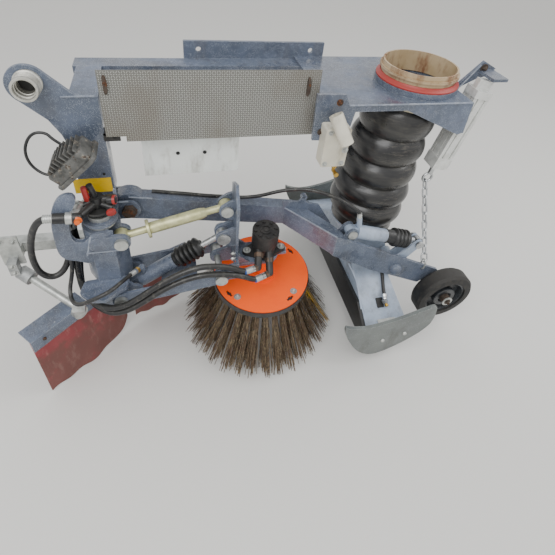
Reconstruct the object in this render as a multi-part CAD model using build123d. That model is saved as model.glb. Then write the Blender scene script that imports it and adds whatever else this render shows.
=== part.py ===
from build123d import *
import os
from math import atan2, cos, degrees, hypot, radians, tan

# Side sweep unit of a street sweeper truck: gutter brush, suction nozzle and the
# carrier that bolts both to the outside of a chassis rail. Sizes are millimetres.
# Places are worked out on one datum: X to the rear, Y inboard, Z up from the road.
# Each finished piece is then moved so that the origin is the centre of the four
# chassis bolts.
os.makedirs("parts", exist_ok=True)

# Chassis mount
mount_x, mount_y, mount_z = 330.0, 1452.0, 945.0
bolt_pitch_x, bolt_pitch_z, bolt_hole_r = 400.0, 170.0, 9.0
mount_plate_thick = 12.0

# Carrier rail
rail_front_x, rail_rear_x = -262.0, 1010.0
rail_depth, rail_height, rail_wall = 70.0, 110.0, 6.0
rail_bottom_z = 890.0

# Hanger column and its bracket for the king pin
column_face_y, column_plate, column_depth = 1100.0, 10.0, 70.0
column_left_x, column_right_x = -262.0, -165.0
column_top_z, column_foot_z = 1024.0, 597.0
coupling_x, coupling_z, coupling_r, coupling_bore_r = -322.0, 1057.0, 36.0, 27.0
king_x, king_y = -212.0, 1035.0
king_pin_r, running_gap = 20.0, 0.1
lug_r, lug_thick = 50.0, 10.0
upper_lug_z, lower_lug_z = 662.0, 290.0

# King post
post_half_width = 58.0
post_foot_z, casing_foot_z, casing_top_z, post_top_z = 303.0, 430.0, 575.0, 650.0
cheek_thick, lift_boss_r = 12.0, 26.0
seat_gap = 0.3

# Trailing arm, in side view
pivot_x, pivot_z, pivot_eye_r, pivot_pin_r = -133.0, 631.0, 50.0, 14.0
arm_outer_y, arm_width = 1122.0, 50.0
arm_plate_y, arm_plate_thick = 962.0, 12.0
nozzle_pin_x, nozzle_pin_z, nozzle_pin_r = 846.0, 337.0, 12.0
axle_x, axle_z, axle_r = 1082.0, 198.0, 12.0

# Gauge wheel
wheel_r, wheel_width, wheel_outer_y, rim_r = 125.0, 70.0, 877.0, 88.0

# Parallel linkage of the brush
link_dx, link_dz = 331.0, 49.0
arm_pin_x, arm_pin_z, arm_pin_r = -187.0, 379.0, 12.0
arm_near_y, arm_far_y, arm_cheek, arm_half_height = 940.0, 1096.5, 10.0, 28.0
tie_pin_x, tie_pin_z, tie_pin_r = -158.0, 604.0, 12.0
tie_near_y, tie_far_y = 1009.0, 1055.0
lift_base_x, lift_base_z, lift_eye_x, lift_eye_z = -143.0, 375.0, 158.0, 563.0
lift_y, lift_pin_r = 1020.0, 10.0

# Brush head and brush
head_plate_x, head_plate_thick, head_near_y, head_far_y = 197.0, 10.0, 985.0, 1085.0
brush_x, brush_y, brush_z = 313.0, 1037.0, 329.0
brush_tilt_out, brush_tilt_forward = 4.8, 1.3
disc_r, disc_thick, base_thick = 180.0, 6.0, 25.0
bristle_tip_r, bristle_drop = 280.0, 283.0
motor_r, motor_flange_h, motor_top_h, hub_top_h = 47.0, 125.0, 238.0, 92.0

# Suction nozzle
nozzle_x, nozzle_mid_y = 775.0, 1200.0
spigot_r, spigot_wall = 122.0, 5.0
nozzle_wall = 6.0
plenum_half_y, plenum_top_z = 140.0, 430.0
nozzle_end_y, nozzle_shoulder_z, nozzle_floor_z = 805.0, 195.0, 62.0
nozzle_front_x, front_wall_z, wing_slope = 688.0, 150.0, 0.55
hood_foot_z, hood_length, hood_top_r, hub_far_y = 290.0, 170.0, 126.0, 1066.0
strip_thick, strip_top_z, strip_foot_z = 12.0, 240.0, 128.0
skid_y, skid_thick = 764.0, 14.0

# Suction hose and its frame
hose_top_x, hose_top_z, hose_r, hose_bore_r = 833.0, 1000.0, 145.0, 124.0
hose_pitch, hose_bulges = 92.0, 5
frame_face_y, frame_plate_z, frame_plate_thick = 1056.0, 1000.0, 10.0

# Nozzle tilt cylinder
tilt_base_x, tilt_base_z, tilt_eye_x, tilt_eye_z, tilt_y = 625.0, 531.0, 931.0, 437.0, 1006.0

# Lift cylinder and chain
ram_top_x, ram_top_z, ram_foot_x, ram_foot_z, ram_y = 1034.0, 1019.0, 975.0, 720.0, 1120.0
ram_width = 72.0
chain_hole_x, chain_hole_z, chain_hole_r = 978.0, 310.0, 7.0

# Hoses
hose_radius, small_hose_radius = 10.0, 6.5

# Curtains
curtain_a, curtain_b = (-462.0, 868.0), (-199.0, 1112.0)
curtain_thick, curtain_top_z, curtain_foot_z = 6.0, 315.0, 4.0


def save(shape, node):
    """Writes one node, moved so that the chassis bolts are the origin."""
    placed = Pos(-mount_x, -mount_y, -mount_z) * shape
    export_step(placed, f"parts/{node}.step")


def side_plate(points, y, thick, rounding=0.0):
    """Plate parallel to the X-Z plane, from y inboard by its thickness."""
    face = make_face(Polyline(*points, close=True))
    if rounding:
        face = fillet(face.vertices(), rounding)
    return extrude(Plane((0, y + thick, 0), (1, 0, 0), (0, -1, 0)) * face, thick)


def flat_plate(points, z, thick, rounding=0.0):
    """Plate parallel to the road, from z up by its thickness."""
    face = make_face(Polyline(*points, close=True))
    if rounding:
        face = fillet(face.vertices(), rounding)
    return extrude(Pos(0, 0, z) * face, thick)


def cross_plate(points, x, thick):
    """Plate parallel to the Y-Z plane, from x rearwards by its thickness."""
    face = make_face(Polyline(*points, close=True))
    return extrude(Plane((x, 0, 0), (0, 1, 0), (1, 0, 0)) * face, thick)


def bar(start, end, r, bore=0.0):
    """Round bar or tube from one point to another."""
    line = Vector(*end) - Vector(*start)
    plane = Plane(Vector(*start), z_dir=line)
    body = Pos(0, 0, line.length / 2) * Cylinder(r, line.length)
    if bore:
        body -= Pos(0, 0, line.length / 2) * Cylinder(bore, line.length + 2)
    return plane * body


def cross_bar(x, z, y0, y1, r, bore=0.0):
    """Round bar or tube parallel to the Y axis."""
    return bar((x, y0, z), (x, y1, z), r, bore)


def link_plate(x0, z0, r0, x1, z1, r1, y, thick):
    """Flat link with two round ends, parallel to the X-Z plane."""
    ends = Sketch() + Pos(x0, z0) * Circle(r0) + Pos(x1, z1) * Circle(r1)
    outline = make_hull(ends.edges())
    return extrude(Plane((0, y + thick, 0), (1, 0, 0), (0, -1, 0)) * outline, thick)


def box(x0, x1, y0, y1, z0, z1):
    """Block between two corners."""
    return Pos((x0 + x1) / 2, (y0 + y1) / 2, (z0 + z1) / 2) * Box(x1 - x0, y1 - y0, z1 - z0)


def hose_tube(points, r):
    """Hose along straight runs joined by arcs as large as the runs allow."""
    corners = [Vector(*p) for p in points]
    radii = []
    for before, corner, after in zip(corners, corners[1:], corners[2:]):
        turn = radians((corner - before).get_angle(after - corner))
        shorter_run = min((corner - before).length, (after - corner).length)
        radii.append(0.45 * shorter_run / tan(turn / 2))
    path = FilletPolyline(*corners, radius=radii)
    return sweep(Plane(path @ 0, z_dir=path % 0) * Circle(r), path)


def past_end(start, end, distance):
    """Point beyond the end of a line, on the same line."""
    line = Vector(*end) - Vector(*start)
    return tuple(Vector(*end) + line.normalized() * distance)


def leaving(start, end, run=28.0):
    """First two points of a hose that leaves a fitting straight."""
    return past_end(start, end, seat_gap), past_end(start, end, run)


def entering(start, end, run=28.0):
    """Last two points of a hose that ends straight on a fitting."""
    return past_end(start, end, run), past_end(start, end, seat_gap)


# Chassis rail piece with the bolted mounting plate
rail_near_y = mount_y - mount_plate_thick - rail_depth
rail_top_z = rail_bottom_z + rail_height
rail = box(rail_front_x, rail_rear_x, rail_near_y, rail_near_y + rail_depth, rail_bottom_z, rail_top_z)
rail -= box(rail_front_x - 1, rail_rear_x + 1, rail_near_y + rail_wall,
            rail_near_y + rail_depth - rail_wall, rail_bottom_z + rail_wall, rail_top_z - rail_wall)
plate_half_x, plate_half_z = bolt_pitch_x / 2 + 50, bolt_pitch_z / 2 + 28
rail += box(mount_x - plate_half_x, mount_x + plate_half_x, mount_y - mount_plate_thick, mount_y,
            mount_z - plate_half_z, mount_z + plate_half_z)
for sx in (-1, 1):
    for sz in (-1, 1):
        hole = (mount_x + sx * bolt_pitch_x / 2, mount_z + sz * bolt_pitch_z / 2)
        rail -= cross_bar(*hole, mount_y - mount_plate_thick - 1, mount_y + 1, bolt_hole_r)
save(rail, "carrier_rail")

# Hanger column: folded channel with a diagonal arm for the water coupling
column_inner_y = column_face_y + column_plate
ear_r = 34.0
column = side_plate([
    (column_right_x, column_top_z), (-219, column_top_z + 4), (-290, 1098), (-360, 1022),
    (-298, 961), (-274, 915), (column_left_x, 870), (column_left_x, column_foot_z),
    (pivot_x, column_foot_z), (pivot_x, pivot_z + ear_r), (column_right_x, pivot_z + ear_r),
], column_face_y, column_plate)
column += cross_bar(coupling_x, coupling_z, column_face_y, column_inner_y, 52)
column += cross_bar(pivot_x, pivot_z, column_face_y, column_inner_y, ear_r)
column += box(column_left_x, column_left_x + 8, column_inner_y, column_face_y + column_depth, 700, 900)
column += box(column_right_x - 8, column_right_x, column_inner_y, column_face_y + column_depth,
              700, column_top_z)
column += box(-250, -177, column_inner_y, rail_near_y, rail_bottom_z, rail_top_z)
column -= box(-244, -183, column_inner_y - 1, rail_near_y + 1, rail_bottom_z + 6, rail_top_z - 6)
column -= cross_bar(coupling_x, coupling_z, column_face_y - 1, column_inner_y + 1, coupling_r - 4)
column -= cross_bar(pivot_x, pivot_z, column_face_y - 1, column_inner_y + 1, pivot_pin_r + running_gap)
save(column, "hanger_column")

# King pin bracket: box leg behind the post, two lugs and the inner ear of the arm pivot
leg_left_x, leg_right_x, leg_far_y = -252.0, -188.0, 1168.0
leg_near_y = 1122.0
bracket = box(leg_left_x, leg_right_x, leg_near_y, leg_far_y, lower_lug_z, 700)
bracket += box(leg_left_x, leg_right_x, column_inner_y, leg_near_y, column_foot_z, 700)
ear_y = arm_outer_y + arm_width + 6
bracket += box(leg_left_x, pivot_x, ear_y, ear_y + column_plate, pivot_z - ear_r, pivot_z + ear_r)
bracket += cross_bar(pivot_x, pivot_z, ear_y, ear_y + column_plate, ear_r)
bracket += box(leg_left_x, leg_right_x, leg_far_y, ear_y + column_plate, pivot_z - ear_r, pivot_z + ear_r)
bracket += flat_plate([(king_x - lug_r, leg_far_y), (king_x - lug_r, king_y), (king_x + lug_r, king_y),
                       (king_x + lug_r, 1115), (leg_right_x, 1122), (leg_right_x, leg_far_y)],
                      lower_lug_z, lug_thick)
bracket += Pos(king_x, king_y, lower_lug_z + lug_thick / 2) * Cylinder(lug_r, lug_thick)
bracket -= Pos(king_x, king_y, lower_lug_z) * Cylinder(king_pin_r + seat_gap, 60)
bracket -= cross_bar(pivot_x, pivot_z, ear_y - 1, ear_y + column_plate + 1, pivot_pin_r + running_gap)
save(bracket, "king_bracket")

upper_lug = flat_plate([(king_x - lug_r, column_face_y), (king_x - lug_r, king_y),
                        (king_x + lug_r, king_y), (king_x + lug_r, column_face_y)],
                       upper_lug_z, lug_thick)
upper_lug += Pos(king_x, king_y, upper_lug_z + lug_thick / 2) * Cylinder(lug_r, lug_thick)
upper_lug += cross_plate([(column_face_y, upper_lug_z + lug_thick), (king_y + 30, upper_lug_z + lug_thick),
                          (column_face_y, upper_lug_z + 60)], king_x + lug_r - 10, 10)
upper_lug -= Pos(king_x, king_y, upper_lug_z) * Cylinder(king_pin_r + seat_gap, 60)
save(upper_lug, "king_upper_lug")

king_pin = bar((king_x, king_y, lower_lug_z - 16), (king_x, king_y, upper_lug_z + lug_thick + 4), king_pin_r)
king_pin += extrude(Pos(king_x, king_y, lower_lug_z - 16) * RegularPolygon(30, 6), 15.7)
king_pin += Pos(king_x, king_y, upper_lug_z + lug_thick + 7.3) * Cylinder(34, 14)
save(king_pin, "king_pin")

# King post: hexagonal casing over a sleeve, clevis head, skirt flange and crescent plate
post_corner_r = post_half_width / cos(radians(30))
post_near_y, post_far_y = king_y - post_half_width, king_y + post_half_width
casing = extrude(Pos(king_x, king_y, casing_foot_z) * RegularPolygon(post_corner_r, 6),
                 casing_top_z - casing_foot_z)
post = casing + bar((king_x, king_y, post_foot_z), (king_x, king_y, casing_foot_z), 34)
post += bar((king_x, king_y, casing_top_z), (king_x, king_y, post_top_z), post_half_width - 2)
for y in (post_near_y, post_far_y - cheek_thick):
    post += side_plate([(-258, casing_foot_z), (-165, casing_foot_z), (lift_base_x, lift_base_z + lift_boss_r),
                        (lift_base_x, lift_base_z - lift_boss_r), (arm_pin_x, post_foot_z + 12),
                        (-258, post_foot_z + 12)], y, cheek_thick)
    post += cross_bar(lift_base_x, lift_base_z, y, y + cheek_thick, lift_boss_r)
post += box(-258, -244, post_near_y, post_far_y, post_foot_z + 12, casing_foot_z)
post += box(-258, -190, post_near_y, post_far_y, post_foot_z, post_foot_z + 12)
post += cross_bar(arm_pin_x, arm_pin_z, arm_near_y + arm_cheek + seat_gap, post_near_y, 24)
post += cross_bar(arm_pin_x, arm_pin_z, post_far_y, arm_far_y - seat_gap, 24)
tie_cheeks = ((post_near_y, 14.0), (tie_near_y + 17, 14.0))
tie_lug_r = 28.0
for y, thick in tie_cheeks:
    post += link_plate(tie_pin_x, tie_pin_z, tie_lug_r, -222, tie_pin_z, tie_lug_r, y, thick)
post += box(-236, -192, post_near_y + 2, king_y, tie_pin_z - tie_lug_r + 3, tie_pin_z + tie_lug_r - 3)
post -= box(-190, -100, post_near_y + 14, tie_near_y + 17, tie_pin_z - 34, post_top_z + 1)
post += flat_plate([(-290, 985), (-302, 935), (-268, 900), (-225, 894), (-160, 940), (-152, 990)],
                   casing_foot_z + 4, 12, 14)
crescent = [(-240, 562), (-262, 531), (-314, 552), (-336, 612), (-331, 692), (-309, 752), (-272, 790),
            (-257, 764), (-293, 722), (-302, 662), (-288, 622), (-262, 616), (-240, 640), (-215, 640),
            (-215, 580)]
post += side_plate(crescent, post_near_y + 4, 12, 5)
post += box(-262, -215, post_near_y + 4, king_y, 560, 620)
post -= bar((king_x, king_y, 200), (king_x, king_y, 700), king_pin_r + running_gap)
post -= cross_bar(tie_pin_x, tie_pin_z, post_near_y - 1, king_y + 40, tie_pin_r)
post -= cross_bar(lift_base_x, lift_base_z, post_near_y - 1, post_far_y + 1, lift_pin_r)
post -= cross_bar(arm_pin_x, arm_pin_z, arm_near_y, 1003, arm_pin_r)
post -= cross_bar(arm_pin_x, arm_pin_z, 1070, arm_far_y, arm_pin_r)
save(post, "king_post")

# Zinc thrust disc between the head and the upper lug
disc = bar((king_x, king_y, post_top_z), (king_x, king_y, upper_lug_z - seat_gap), 52,
           king_pin_r + running_gap)
save(disc, "thrust_disc")

# Pins held in the post
pin_gap = 0.05
post_pins = cross_bar(tie_pin_x, tie_pin_z, post_near_y - 8, king_y + 12, tie_pin_r - pin_gap)
post_pins += cross_bar(tie_pin_x, tie_pin_z, post_near_y - 12, post_near_y - seat_gap, 20)
post_pins += cross_bar(lift_base_x, lift_base_z, post_near_y + 2, post_far_y - 2, lift_pin_r - pin_gap)
post_pins += cross_bar(arm_pin_x, arm_pin_z, arm_near_y - 14, 1002, arm_pin_r - pin_gap)
post_pins += cross_bar(arm_pin_x, arm_pin_z, arm_near_y - 14, arm_near_y - seat_gap, 21)
post_pins += cross_bar(arm_pin_x, arm_pin_z, 1072, arm_far_y + arm_cheek, arm_pin_r - pin_gap)
save(post_pins, "post_pins")

# Lower arm: channel with two cheeks and a bottom web
arm_end_x, arm_end_z = arm_pin_x + link_dx, arm_pin_z + link_dz
lower_arm = Part()
for y in (arm_near_y, arm_far_y):
    lower_arm += link_plate(arm_pin_x, arm_pin_z, arm_half_height, arm_end_x, arm_end_z,
                            arm_half_height, y, arm_cheek)
link_angle = degrees(atan2(link_dz, link_dx))
web = Plane((arm_pin_x, 0, arm_pin_z), (link_dx, 0, link_dz), (-link_dz, 0, link_dx))
lower_arm += web * box(130, 255, arm_near_y + arm_cheek, arm_far_y, -arm_half_height, -arm_half_height + 8)
for x, z in ((arm_pin_x, arm_pin_z), (arm_end_x, arm_end_z)):
    lower_arm -= cross_bar(x, z, arm_near_y - 1, arm_far_y + arm_cheek + 1, arm_pin_r + running_gap / 2)
save(lower_arm, "lower_arm")

# Tie rod: turnbuckle tube between two jaw eyes, running slightly inboard
tie_a = Vector(tie_pin_x, tie_near_y, tie_pin_z)
tie_b = Vector(tie_pin_x + link_dx, tie_far_y, tie_pin_z + link_dz)
tie_dir = (tie_b - tie_a).normalized()
tie_len = (tie_b - tie_a).length
tie_eye_r, tie_eye_half = 23.0, 15.0
tie_plane = Plane(tie_a, z_dir=tie_dir)
tie_tube = tie_plane * revolve(Plane.XZ * make_face(Polyline(
    (0, 78), (17, 78), (19, 96), (19, 250), (15, 268), (0, 268), close=True)), Axis.Z)
tie_rod = tie_tube + bar(tie_a + tie_dir * 20, tie_b - tie_dir * 20, 12)
tie_rod += tie_plane * Pos(0, 0, 84) * Cylinder(27, 7)
for p in (tie_a, tie_b):
    tie_rod += cross_bar(p.X, p.Z, p.Y - tie_eye_half, p.Y + tie_eye_half, tie_eye_r)
for p in (tie_a, tie_b):
    tie_rod -= cross_bar(p.X, p.Z, p.Y - 30, p.Y + 30, tie_pin_r + running_gap / 2)
save(tie_rod, "tie_rod")


def cross_gusset(y, thick):
    """Triangular web between the head plate and the motor plate, in the brush frame."""
    top = motor_flange_h - 6
    web_face = make_face(Polyline((-112, top), (-52, top), (-112, top + 62), close=True))
    return extrude(Plane((0, y + thick, 0), (1, 0, 0), (0, -1, 0)) * web_face, thick)


# Brush head: vertical plate with ears, lower lugs and the motor plate
tilt = Rot(brush_tilt_out, -brush_tilt_forward, 0)
brush_frame = Pos(brush_x, brush_y, brush_z) * tilt
head_x1 = head_plate_x + head_plate_thick
head = cross_plate([(head_near_y, 430), (head_near_y, 690), (head_near_y + 38, 762), (head_far_y, 730),
                    (head_far_y, 430)], head_plate_x, head_plate_thick)
# eye x, eye z, ear radius, middle y, half the gap, hole radius: tie rod ears, lift cylinder ears
ear_table = (
    (tie_b.X, tie_b.Z, 26.0, tie_far_y, 17.0, tie_pin_r),
    (lift_eye_x, lift_eye_z, 26.0, lift_y, 14.0, 12.5),
)
for x, z, r, y_mid, half_gap, hole_r in ear_table:
    for y in (y_mid - half_gap - 10, y_mid + half_gap):
        ear = link_plate(x, z, r, head_plate_x, z, r + 14, y, 10)
        head += ear & box(0, head_x1, 900, 1200, 0, 1000)
    head -= cross_bar(x, z, y_mid - 60, y_mid + 60, hole_r)
lower_lug_ys = ((arm_near_y + arm_cheek + 3, 12.0), (1045.0, 12.0))
for y, thick in lower_lug_ys:
    head += link_plate(arm_end_x, arm_end_z, 26, head_plate_x + 4, arm_end_z + 12, 36, y, thick) \
        & box(0, head_x1, 900, 1200, 0, 1000)
head += box(head_plate_x, head_x1, arm_near_y + arm_cheek + 3, head_near_y, 430, 476)
motor_plate_h = motor_flange_h - 12
head += brush_frame * (Pos(-55, 0, motor_plate_h + 6) * Box(120, 96, 12)
                       + Pos(0, 0, motor_plate_h + 6) * Cylinder(52, 12)
                       + Pos(0, 0, motor_plate_h + 6) * Box(160, 36, 12))
for y in (-46, 38):
    head += brush_frame * cross_gusset(y, 8)
head -= brush_frame * bar((0, 0, 60), (0, 0, 160), 41)
head -= cross_bar(arm_end_x, arm_end_z, 900, 1200, arm_pin_r)
save(head, "brush_head")

head_pins = cross_bar(tie_b.X, tie_b.Z, tie_far_y - 36, tie_far_y + 36, tie_pin_r - pin_gap)
head_pins += cross_bar(tie_b.X, tie_b.Z, tie_far_y - 36, tie_far_y - 27 - seat_gap, 20)
head_pins += cross_bar(arm_end_x, arm_end_z, arm_near_y - 14, arm_far_y + arm_cheek + 6, arm_pin_r - pin_gap)
head_pins += cross_bar(arm_end_x, arm_end_z, arm_near_y - 14, arm_near_y - seat_gap, 21)
head_pins += cross_bar(arm_end_x, arm_end_z, 1057 + seat_gap, arm_far_y - seat_gap, 19)
save(head_pins, "head_pins")

# Motor: flange, port housing, rotor ring and bolted end cap, in the tilted brush frame
motor = Pos(0, 0, motor_flange_h + 6) * Cylinder(41, 12)
motor += extrude(Pos(0, 0, motor_flange_h + seat_gap) * make_hull(
    (Pos(-63, 0) * Circle(16) + Pos(63, 0) * Circle(16) + Circle(44)).edges()), 12)
motor += Pos(0, 0, motor_flange_h + 30) * Cylinder(40, 42)
motor += Pos(0, 0, motor_flange_h + 70) * Cylinder(motor_r, 40)
motor += Pos(0, 0, motor_top_h - 12) * Cylinder(motor_r, 22)
motor += Pos(0, 0, motor_top_h - 22) * Cylinder(motor_r - 4, 30)
motor += bar((0, 0, hub_top_h + seat_gap), (0, 0, motor_flange_h + 1), 36)
cap_bolts, cap_bolt_pcr = 8, 36.0
for bolt in PolarLocations(cap_bolt_pcr, cap_bolts):
    motor += bolt * Pos(0, 0, motor_top_h - 3) * extrude(RegularPolygon(7, 6), 8)
motor = brush_frame * motor
motor_elbows = (
    ((283, 1000, 496), (270, 941, 462), (246, 934, 463)),
    ((318, 992, 486), (313, 934, 434), (283, 925, 430)),
)
for port, corner, hose_end in motor_elbows:
    motor += bar(port, corner, 13)
    motor += Pos(*corner) * Sphere(13)
    motor += bar(corner, hose_end, 11)
save(motor, "brush_motor")

# Brush: orange disc on a black base, turning about the tilted axis
spin_disc = Pos(0, 0, -disc_thick / 2) * Cylinder(disc_r, disc_thick)
spin_disc += Pos(0, 0, 5) * Cylinder(55, 10)
spin_disc += bar((0, 0, 0), (0, 0, hub_top_h), 24)
keyhole_count, keyhole_r = 4, 158.0
for spot in PolarLocations(keyhole_r, keyhole_count, start_angle=30):
    spin_disc -= spot * Pos(0, 0, -disc_thick / 2) * (Box(9, 30, 20) + Cylinder(8, 20))
save(brush_frame * spin_disc, "brush_disc")

base = Pos(0, 0, -disc_thick - base_thick / 2) * Cylinder(disc_r + 4, base_thick)
base -= Pos(0, 0, -disc_thick - base_thick / 2) * Cylinder(90, base_thick + 2)
save(brush_frame * base, "brush_base")

# Bristles: two rings of flat tufts that splay outwards
tuft_rings = (
    (168.0, bristle_tip_r, 34, 0.0),
    (140.0, bristle_tip_r - 45, 26, 5.0),
)
bristle_top = -disc_thick - base_thick - seat_gap
tuft_list = []
for root_r, tip_r, count, phase in tuft_rings:
    for k in range(count):
        angle = phase + k * 360 / count
        root = Plane((root_r, 0, bristle_top), z_dir=(0, 0, -1))
        tip = Plane((tip_r, 0, -bristle_drop), z_dir=(0, 0, -1))
        tuft = loft([root * Rectangle(10, 12), tip * Rectangle(12, 34)])
        tuft_list.append(Rot(0, 0, angle) * tuft)
tufts = Pos(0, 0, bristle_top - 3) * (Cylinder(178, 6) - Cylinder(120, 8)) + tuft_list
save(brush_frame * tufts, "brush_bristles")

# Brush lift cylinder: barrel with base eye, gaiter and rod with its pin
lift_len = hypot(lift_eye_x - lift_base_x, lift_eye_z - lift_base_z)
lift_plane = Plane((lift_base_x, lift_y, lift_base_z), (0, 1, 0),
                   (lift_eye_x - lift_base_x, 0, lift_eye_z - lift_base_z))
barrel_r, barrel_start, barrel_end, rod_r = 27.0, 26.0, 165.0, 11.0
gaiter_end, gaiter_r, gaiter_folds = 272.0, 37.0, 5


def barrel_shape(start, end, r, eye_r, eye_half, pin_r, rod_bore):
    """Cylinder barrel along Z with a base eye across X."""
    body = Pos(0, 0, (start + end) / 2) * Cylinder(r, end - start)
    body += Pos(0, 0, start / 2 + 4) * Box(2 * eye_half, 2 * eye_r, start)
    body += Rot(0, 90, 0) * Cylinder(eye_r, 2 * eye_half)
    body -= Rot(0, 90, 0) * Cylinder(pin_r, 2 * eye_half + 2)
    body -= Pos(0, 0, end - 60) * Cylinder(rod_bore, 124)
    return body


def gaiter_shape(start, end, r_neck, r_fold, folds, bore):
    """Rubber gaiter along Z, a row of sharp folds turned about the rod."""
    pitch = (end - start) / folds
    points = [(bore, start), (r_neck, start)]
    for k in range(folds):
        points.append((r_fold, start + (k + 0.5) * pitch))
        points.append((r_neck, start + (k + 1) * pitch))
    points.append((bore, end))
    return revolve(Plane.XZ * make_face(Polyline(*points, close=True)), Axis.Z)


lift_barrel = barrel_shape(barrel_start, barrel_end, barrel_r, 22, 14, lift_pin_r + running_gap / 2,
                           rod_r + 0.6)
lift_barrel = lift_plane * lift_barrel
lift_port, lift_corner, lift_hose_end = (-108, 1018, 414), (-114, 1012, 452), (-136, 984, 462)
lift_barrel += bar(lift_port, lift_corner, 11)
lift_barrel += Pos(*lift_corner) * Sphere(11)
lift_barrel += bar(lift_corner, lift_hose_end, 9)
save(lift_barrel, "brush_lift_barrel")
lift_gaiter = gaiter_shape(barrel_end + seat_gap, gaiter_end, barrel_r, gaiter_r, gaiter_folds, rod_r + 1.5)
save(lift_plane * lift_gaiter, "brush_lift_gaiter")
lift_rod = Pos(0, 0, (barrel_end - 50 + lift_len) / 2) * Cylinder(rod_r, lift_len - barrel_end + 50 - 10)
lift_rod += Pos(0, 0, lift_len) * Rot(0, 90, 0) * Cylinder(21, 22)
lift_rod += Pos(0, 0, lift_len) * Rot(0, 90, 0) * Cylinder(lift_pin_r, 64)
for sx in (-1, 1):
    lift_rod += Pos(sx * 29, 0, lift_len) * Rot(0, 90, 0) * Cylinder(22, 8)
save(lift_plane * lift_rod, "brush_lift_rod")

# Trailing arm: side profile cut from the plan shape, with a cranked middle
side_view = side_plate([
    (pivot_x, 667), (430, 563.6), (566, 541), (1058, 291), (1108, 222), (1082, 160), (1046, 182), (1000, 236),
    (982, 226), (739, 344), (546, 459), (402, 490), (pivot_x, 578),
], 900, 400)
side_view += cross_bar(pivot_x, pivot_z, 900, 1300, pivot_eye_r)
plan_view = flat_plate([
    (pivot_x - pivot_eye_r - 5, arm_outer_y), (400, arm_outer_y), (556, arm_plate_y), (1200, arm_plate_y),
    (1200, arm_plate_y + arm_plate_thick), (612, arm_plate_y + arm_plate_thick),
    (445, arm_outer_y + arm_width),
    (pivot_x - pivot_eye_r - 5, arm_outer_y + arm_width),
], 100, 700)
arm = side_view & plan_view
arm -= cross_bar(pivot_x, pivot_z, 1000, 1300, pivot_pin_r + running_gap / 2)
arm -= cross_bar(nozzle_pin_x, nozzle_pin_z, 900, 1100, nozzle_pin_r)
arm -= cross_bar(axle_x, axle_z, 900, 1100, axle_r)
arm -= cross_bar(chain_hole_x, chain_hole_z, 900, 1100, chain_hole_r)
for y in (tilt_y - 26, tilt_y + 14):
    arm += link_plate(tilt_base_x, tilt_base_z, 22, tilt_base_x - 20, tilt_base_z - 40, 26, y, 12)
arm += box(tilt_base_x - 46, tilt_base_x + 6, arm_plate_y + 2, tilt_y + 26, tilt_base_z - 66,
           tilt_base_z - 40)
arm -= cross_bar(tilt_base_x, tilt_base_z, 950, 1050, lift_pin_r)
save(arm, "trailing_arm")

arm_pins = cross_bar(pivot_x, pivot_z, column_face_y - 16, ear_y + column_plate + 14, pivot_pin_r - pin_gap)
arm_pins += extrude(Plane((pivot_x, column_face_y - seat_gap, pivot_z), (1, 0, 0), (0, -1, 0))
                    * RegularPolygon(24, 6), 15)
save(arm_pins, "pivot_bolt")
axle = cross_bar(axle_x, axle_z, wheel_outer_y - 6, arm_plate_y + arm_plate_thick + 10, axle_r - pin_gap)
axle += cross_bar(axle_x, axle_z, wheel_outer_y + wheel_width + 6, arm_plate_y - seat_gap, 20)
axle += cross_bar(axle_x, axle_z, wheel_outer_y - 12, wheel_outer_y + 14 - seat_gap, 20)
axle += extrude(Plane((axle_x, wheel_outer_y - 12, axle_z), (1, 0, 0), (0, -1, 0))
                * RegularPolygon(13, 6), 8)
save(axle, "wheel_axle")
tilt_pin = cross_bar(tilt_base_x, tilt_base_z, tilt_y - 31, tilt_y + 26, lift_pin_r - pin_gap)
tilt_pin += cross_bar(tilt_base_x, tilt_base_z, tilt_y - 31, tilt_y - 26 - seat_gap, 18)
save(tilt_pin, "tilt_base_pin")

# Gauge wheel: rubber tyre on a dished hub
tyre_profile = make_face(Polyline((rim_r, -35), (rim_r + 12, -35), (wheel_r - 8, -33), (wheel_r, -22),
                                  (wheel_r, 22), (wheel_r - 8, 33), (rim_r + 12, 35), (rim_r, 35), close=True))
wheel_plane = Plane((axle_x, wheel_outer_y + wheel_width / 2, axle_z), (1, 0, 0), (0, -1, 0))
save(wheel_plane * revolve(Plane.XZ * tyre_profile, Axis.Z), "wheel_tyre")
hub_section = make_face(Polyline((axle_r + running_gap / 2, -28), (28, -28), (28, -10), (74, -10), (82, -32),
                                 (rim_r - 0.1, -32), (rim_r - 0.1, 28), (80, 28), (72, 2), (28, 2),
                                 (28, 20), (axle_r + running_gap / 2, 20), close=True))
save(wheel_plane * revolve(Plane.XZ * hub_section, Axis.Z), "wheel_hub")

# Nozzle: plenum with a hose spigot and a sloping wing each side, open below
far_end_y = 2 * nozzle_mid_y - nozzle_end_y
hose_foot = Vector(nozzle_x, nozzle_mid_y, plenum_top_z + seat_gap)
hose_head = Vector(hose_top_x, nozzle_mid_y, hose_top_z - seat_gap)
hose_plane = Plane(hose_foot, z_dir=hose_head - hose_foot)


def wing_shape(inset):
    """Outer wing from its end to the middle of the nozzle, drawn in by an inset."""
    plan = [(nozzle_front_x + inset, nozzle_end_y + inset), (862 - inset, nozzle_end_y + inset),
            (835 - inset, 974), (835 - inset, nozzle_mid_y), (nozzle_front_x + inset, nozzle_mid_y)]
    rise = (nozzle_mid_y - nozzle_end_y) * wing_slope
    front = [(nozzle_end_y, nozzle_floor_z - inset), (nozzle_mid_y, nozzle_floor_z - inset),
             (nozzle_mid_y, nozzle_shoulder_z + rise - inset), (nozzle_end_y, nozzle_shoulder_z - inset)]
    return flat_plate(plan, 0, 600) & cross_plate(front, 600, 400)


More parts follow.
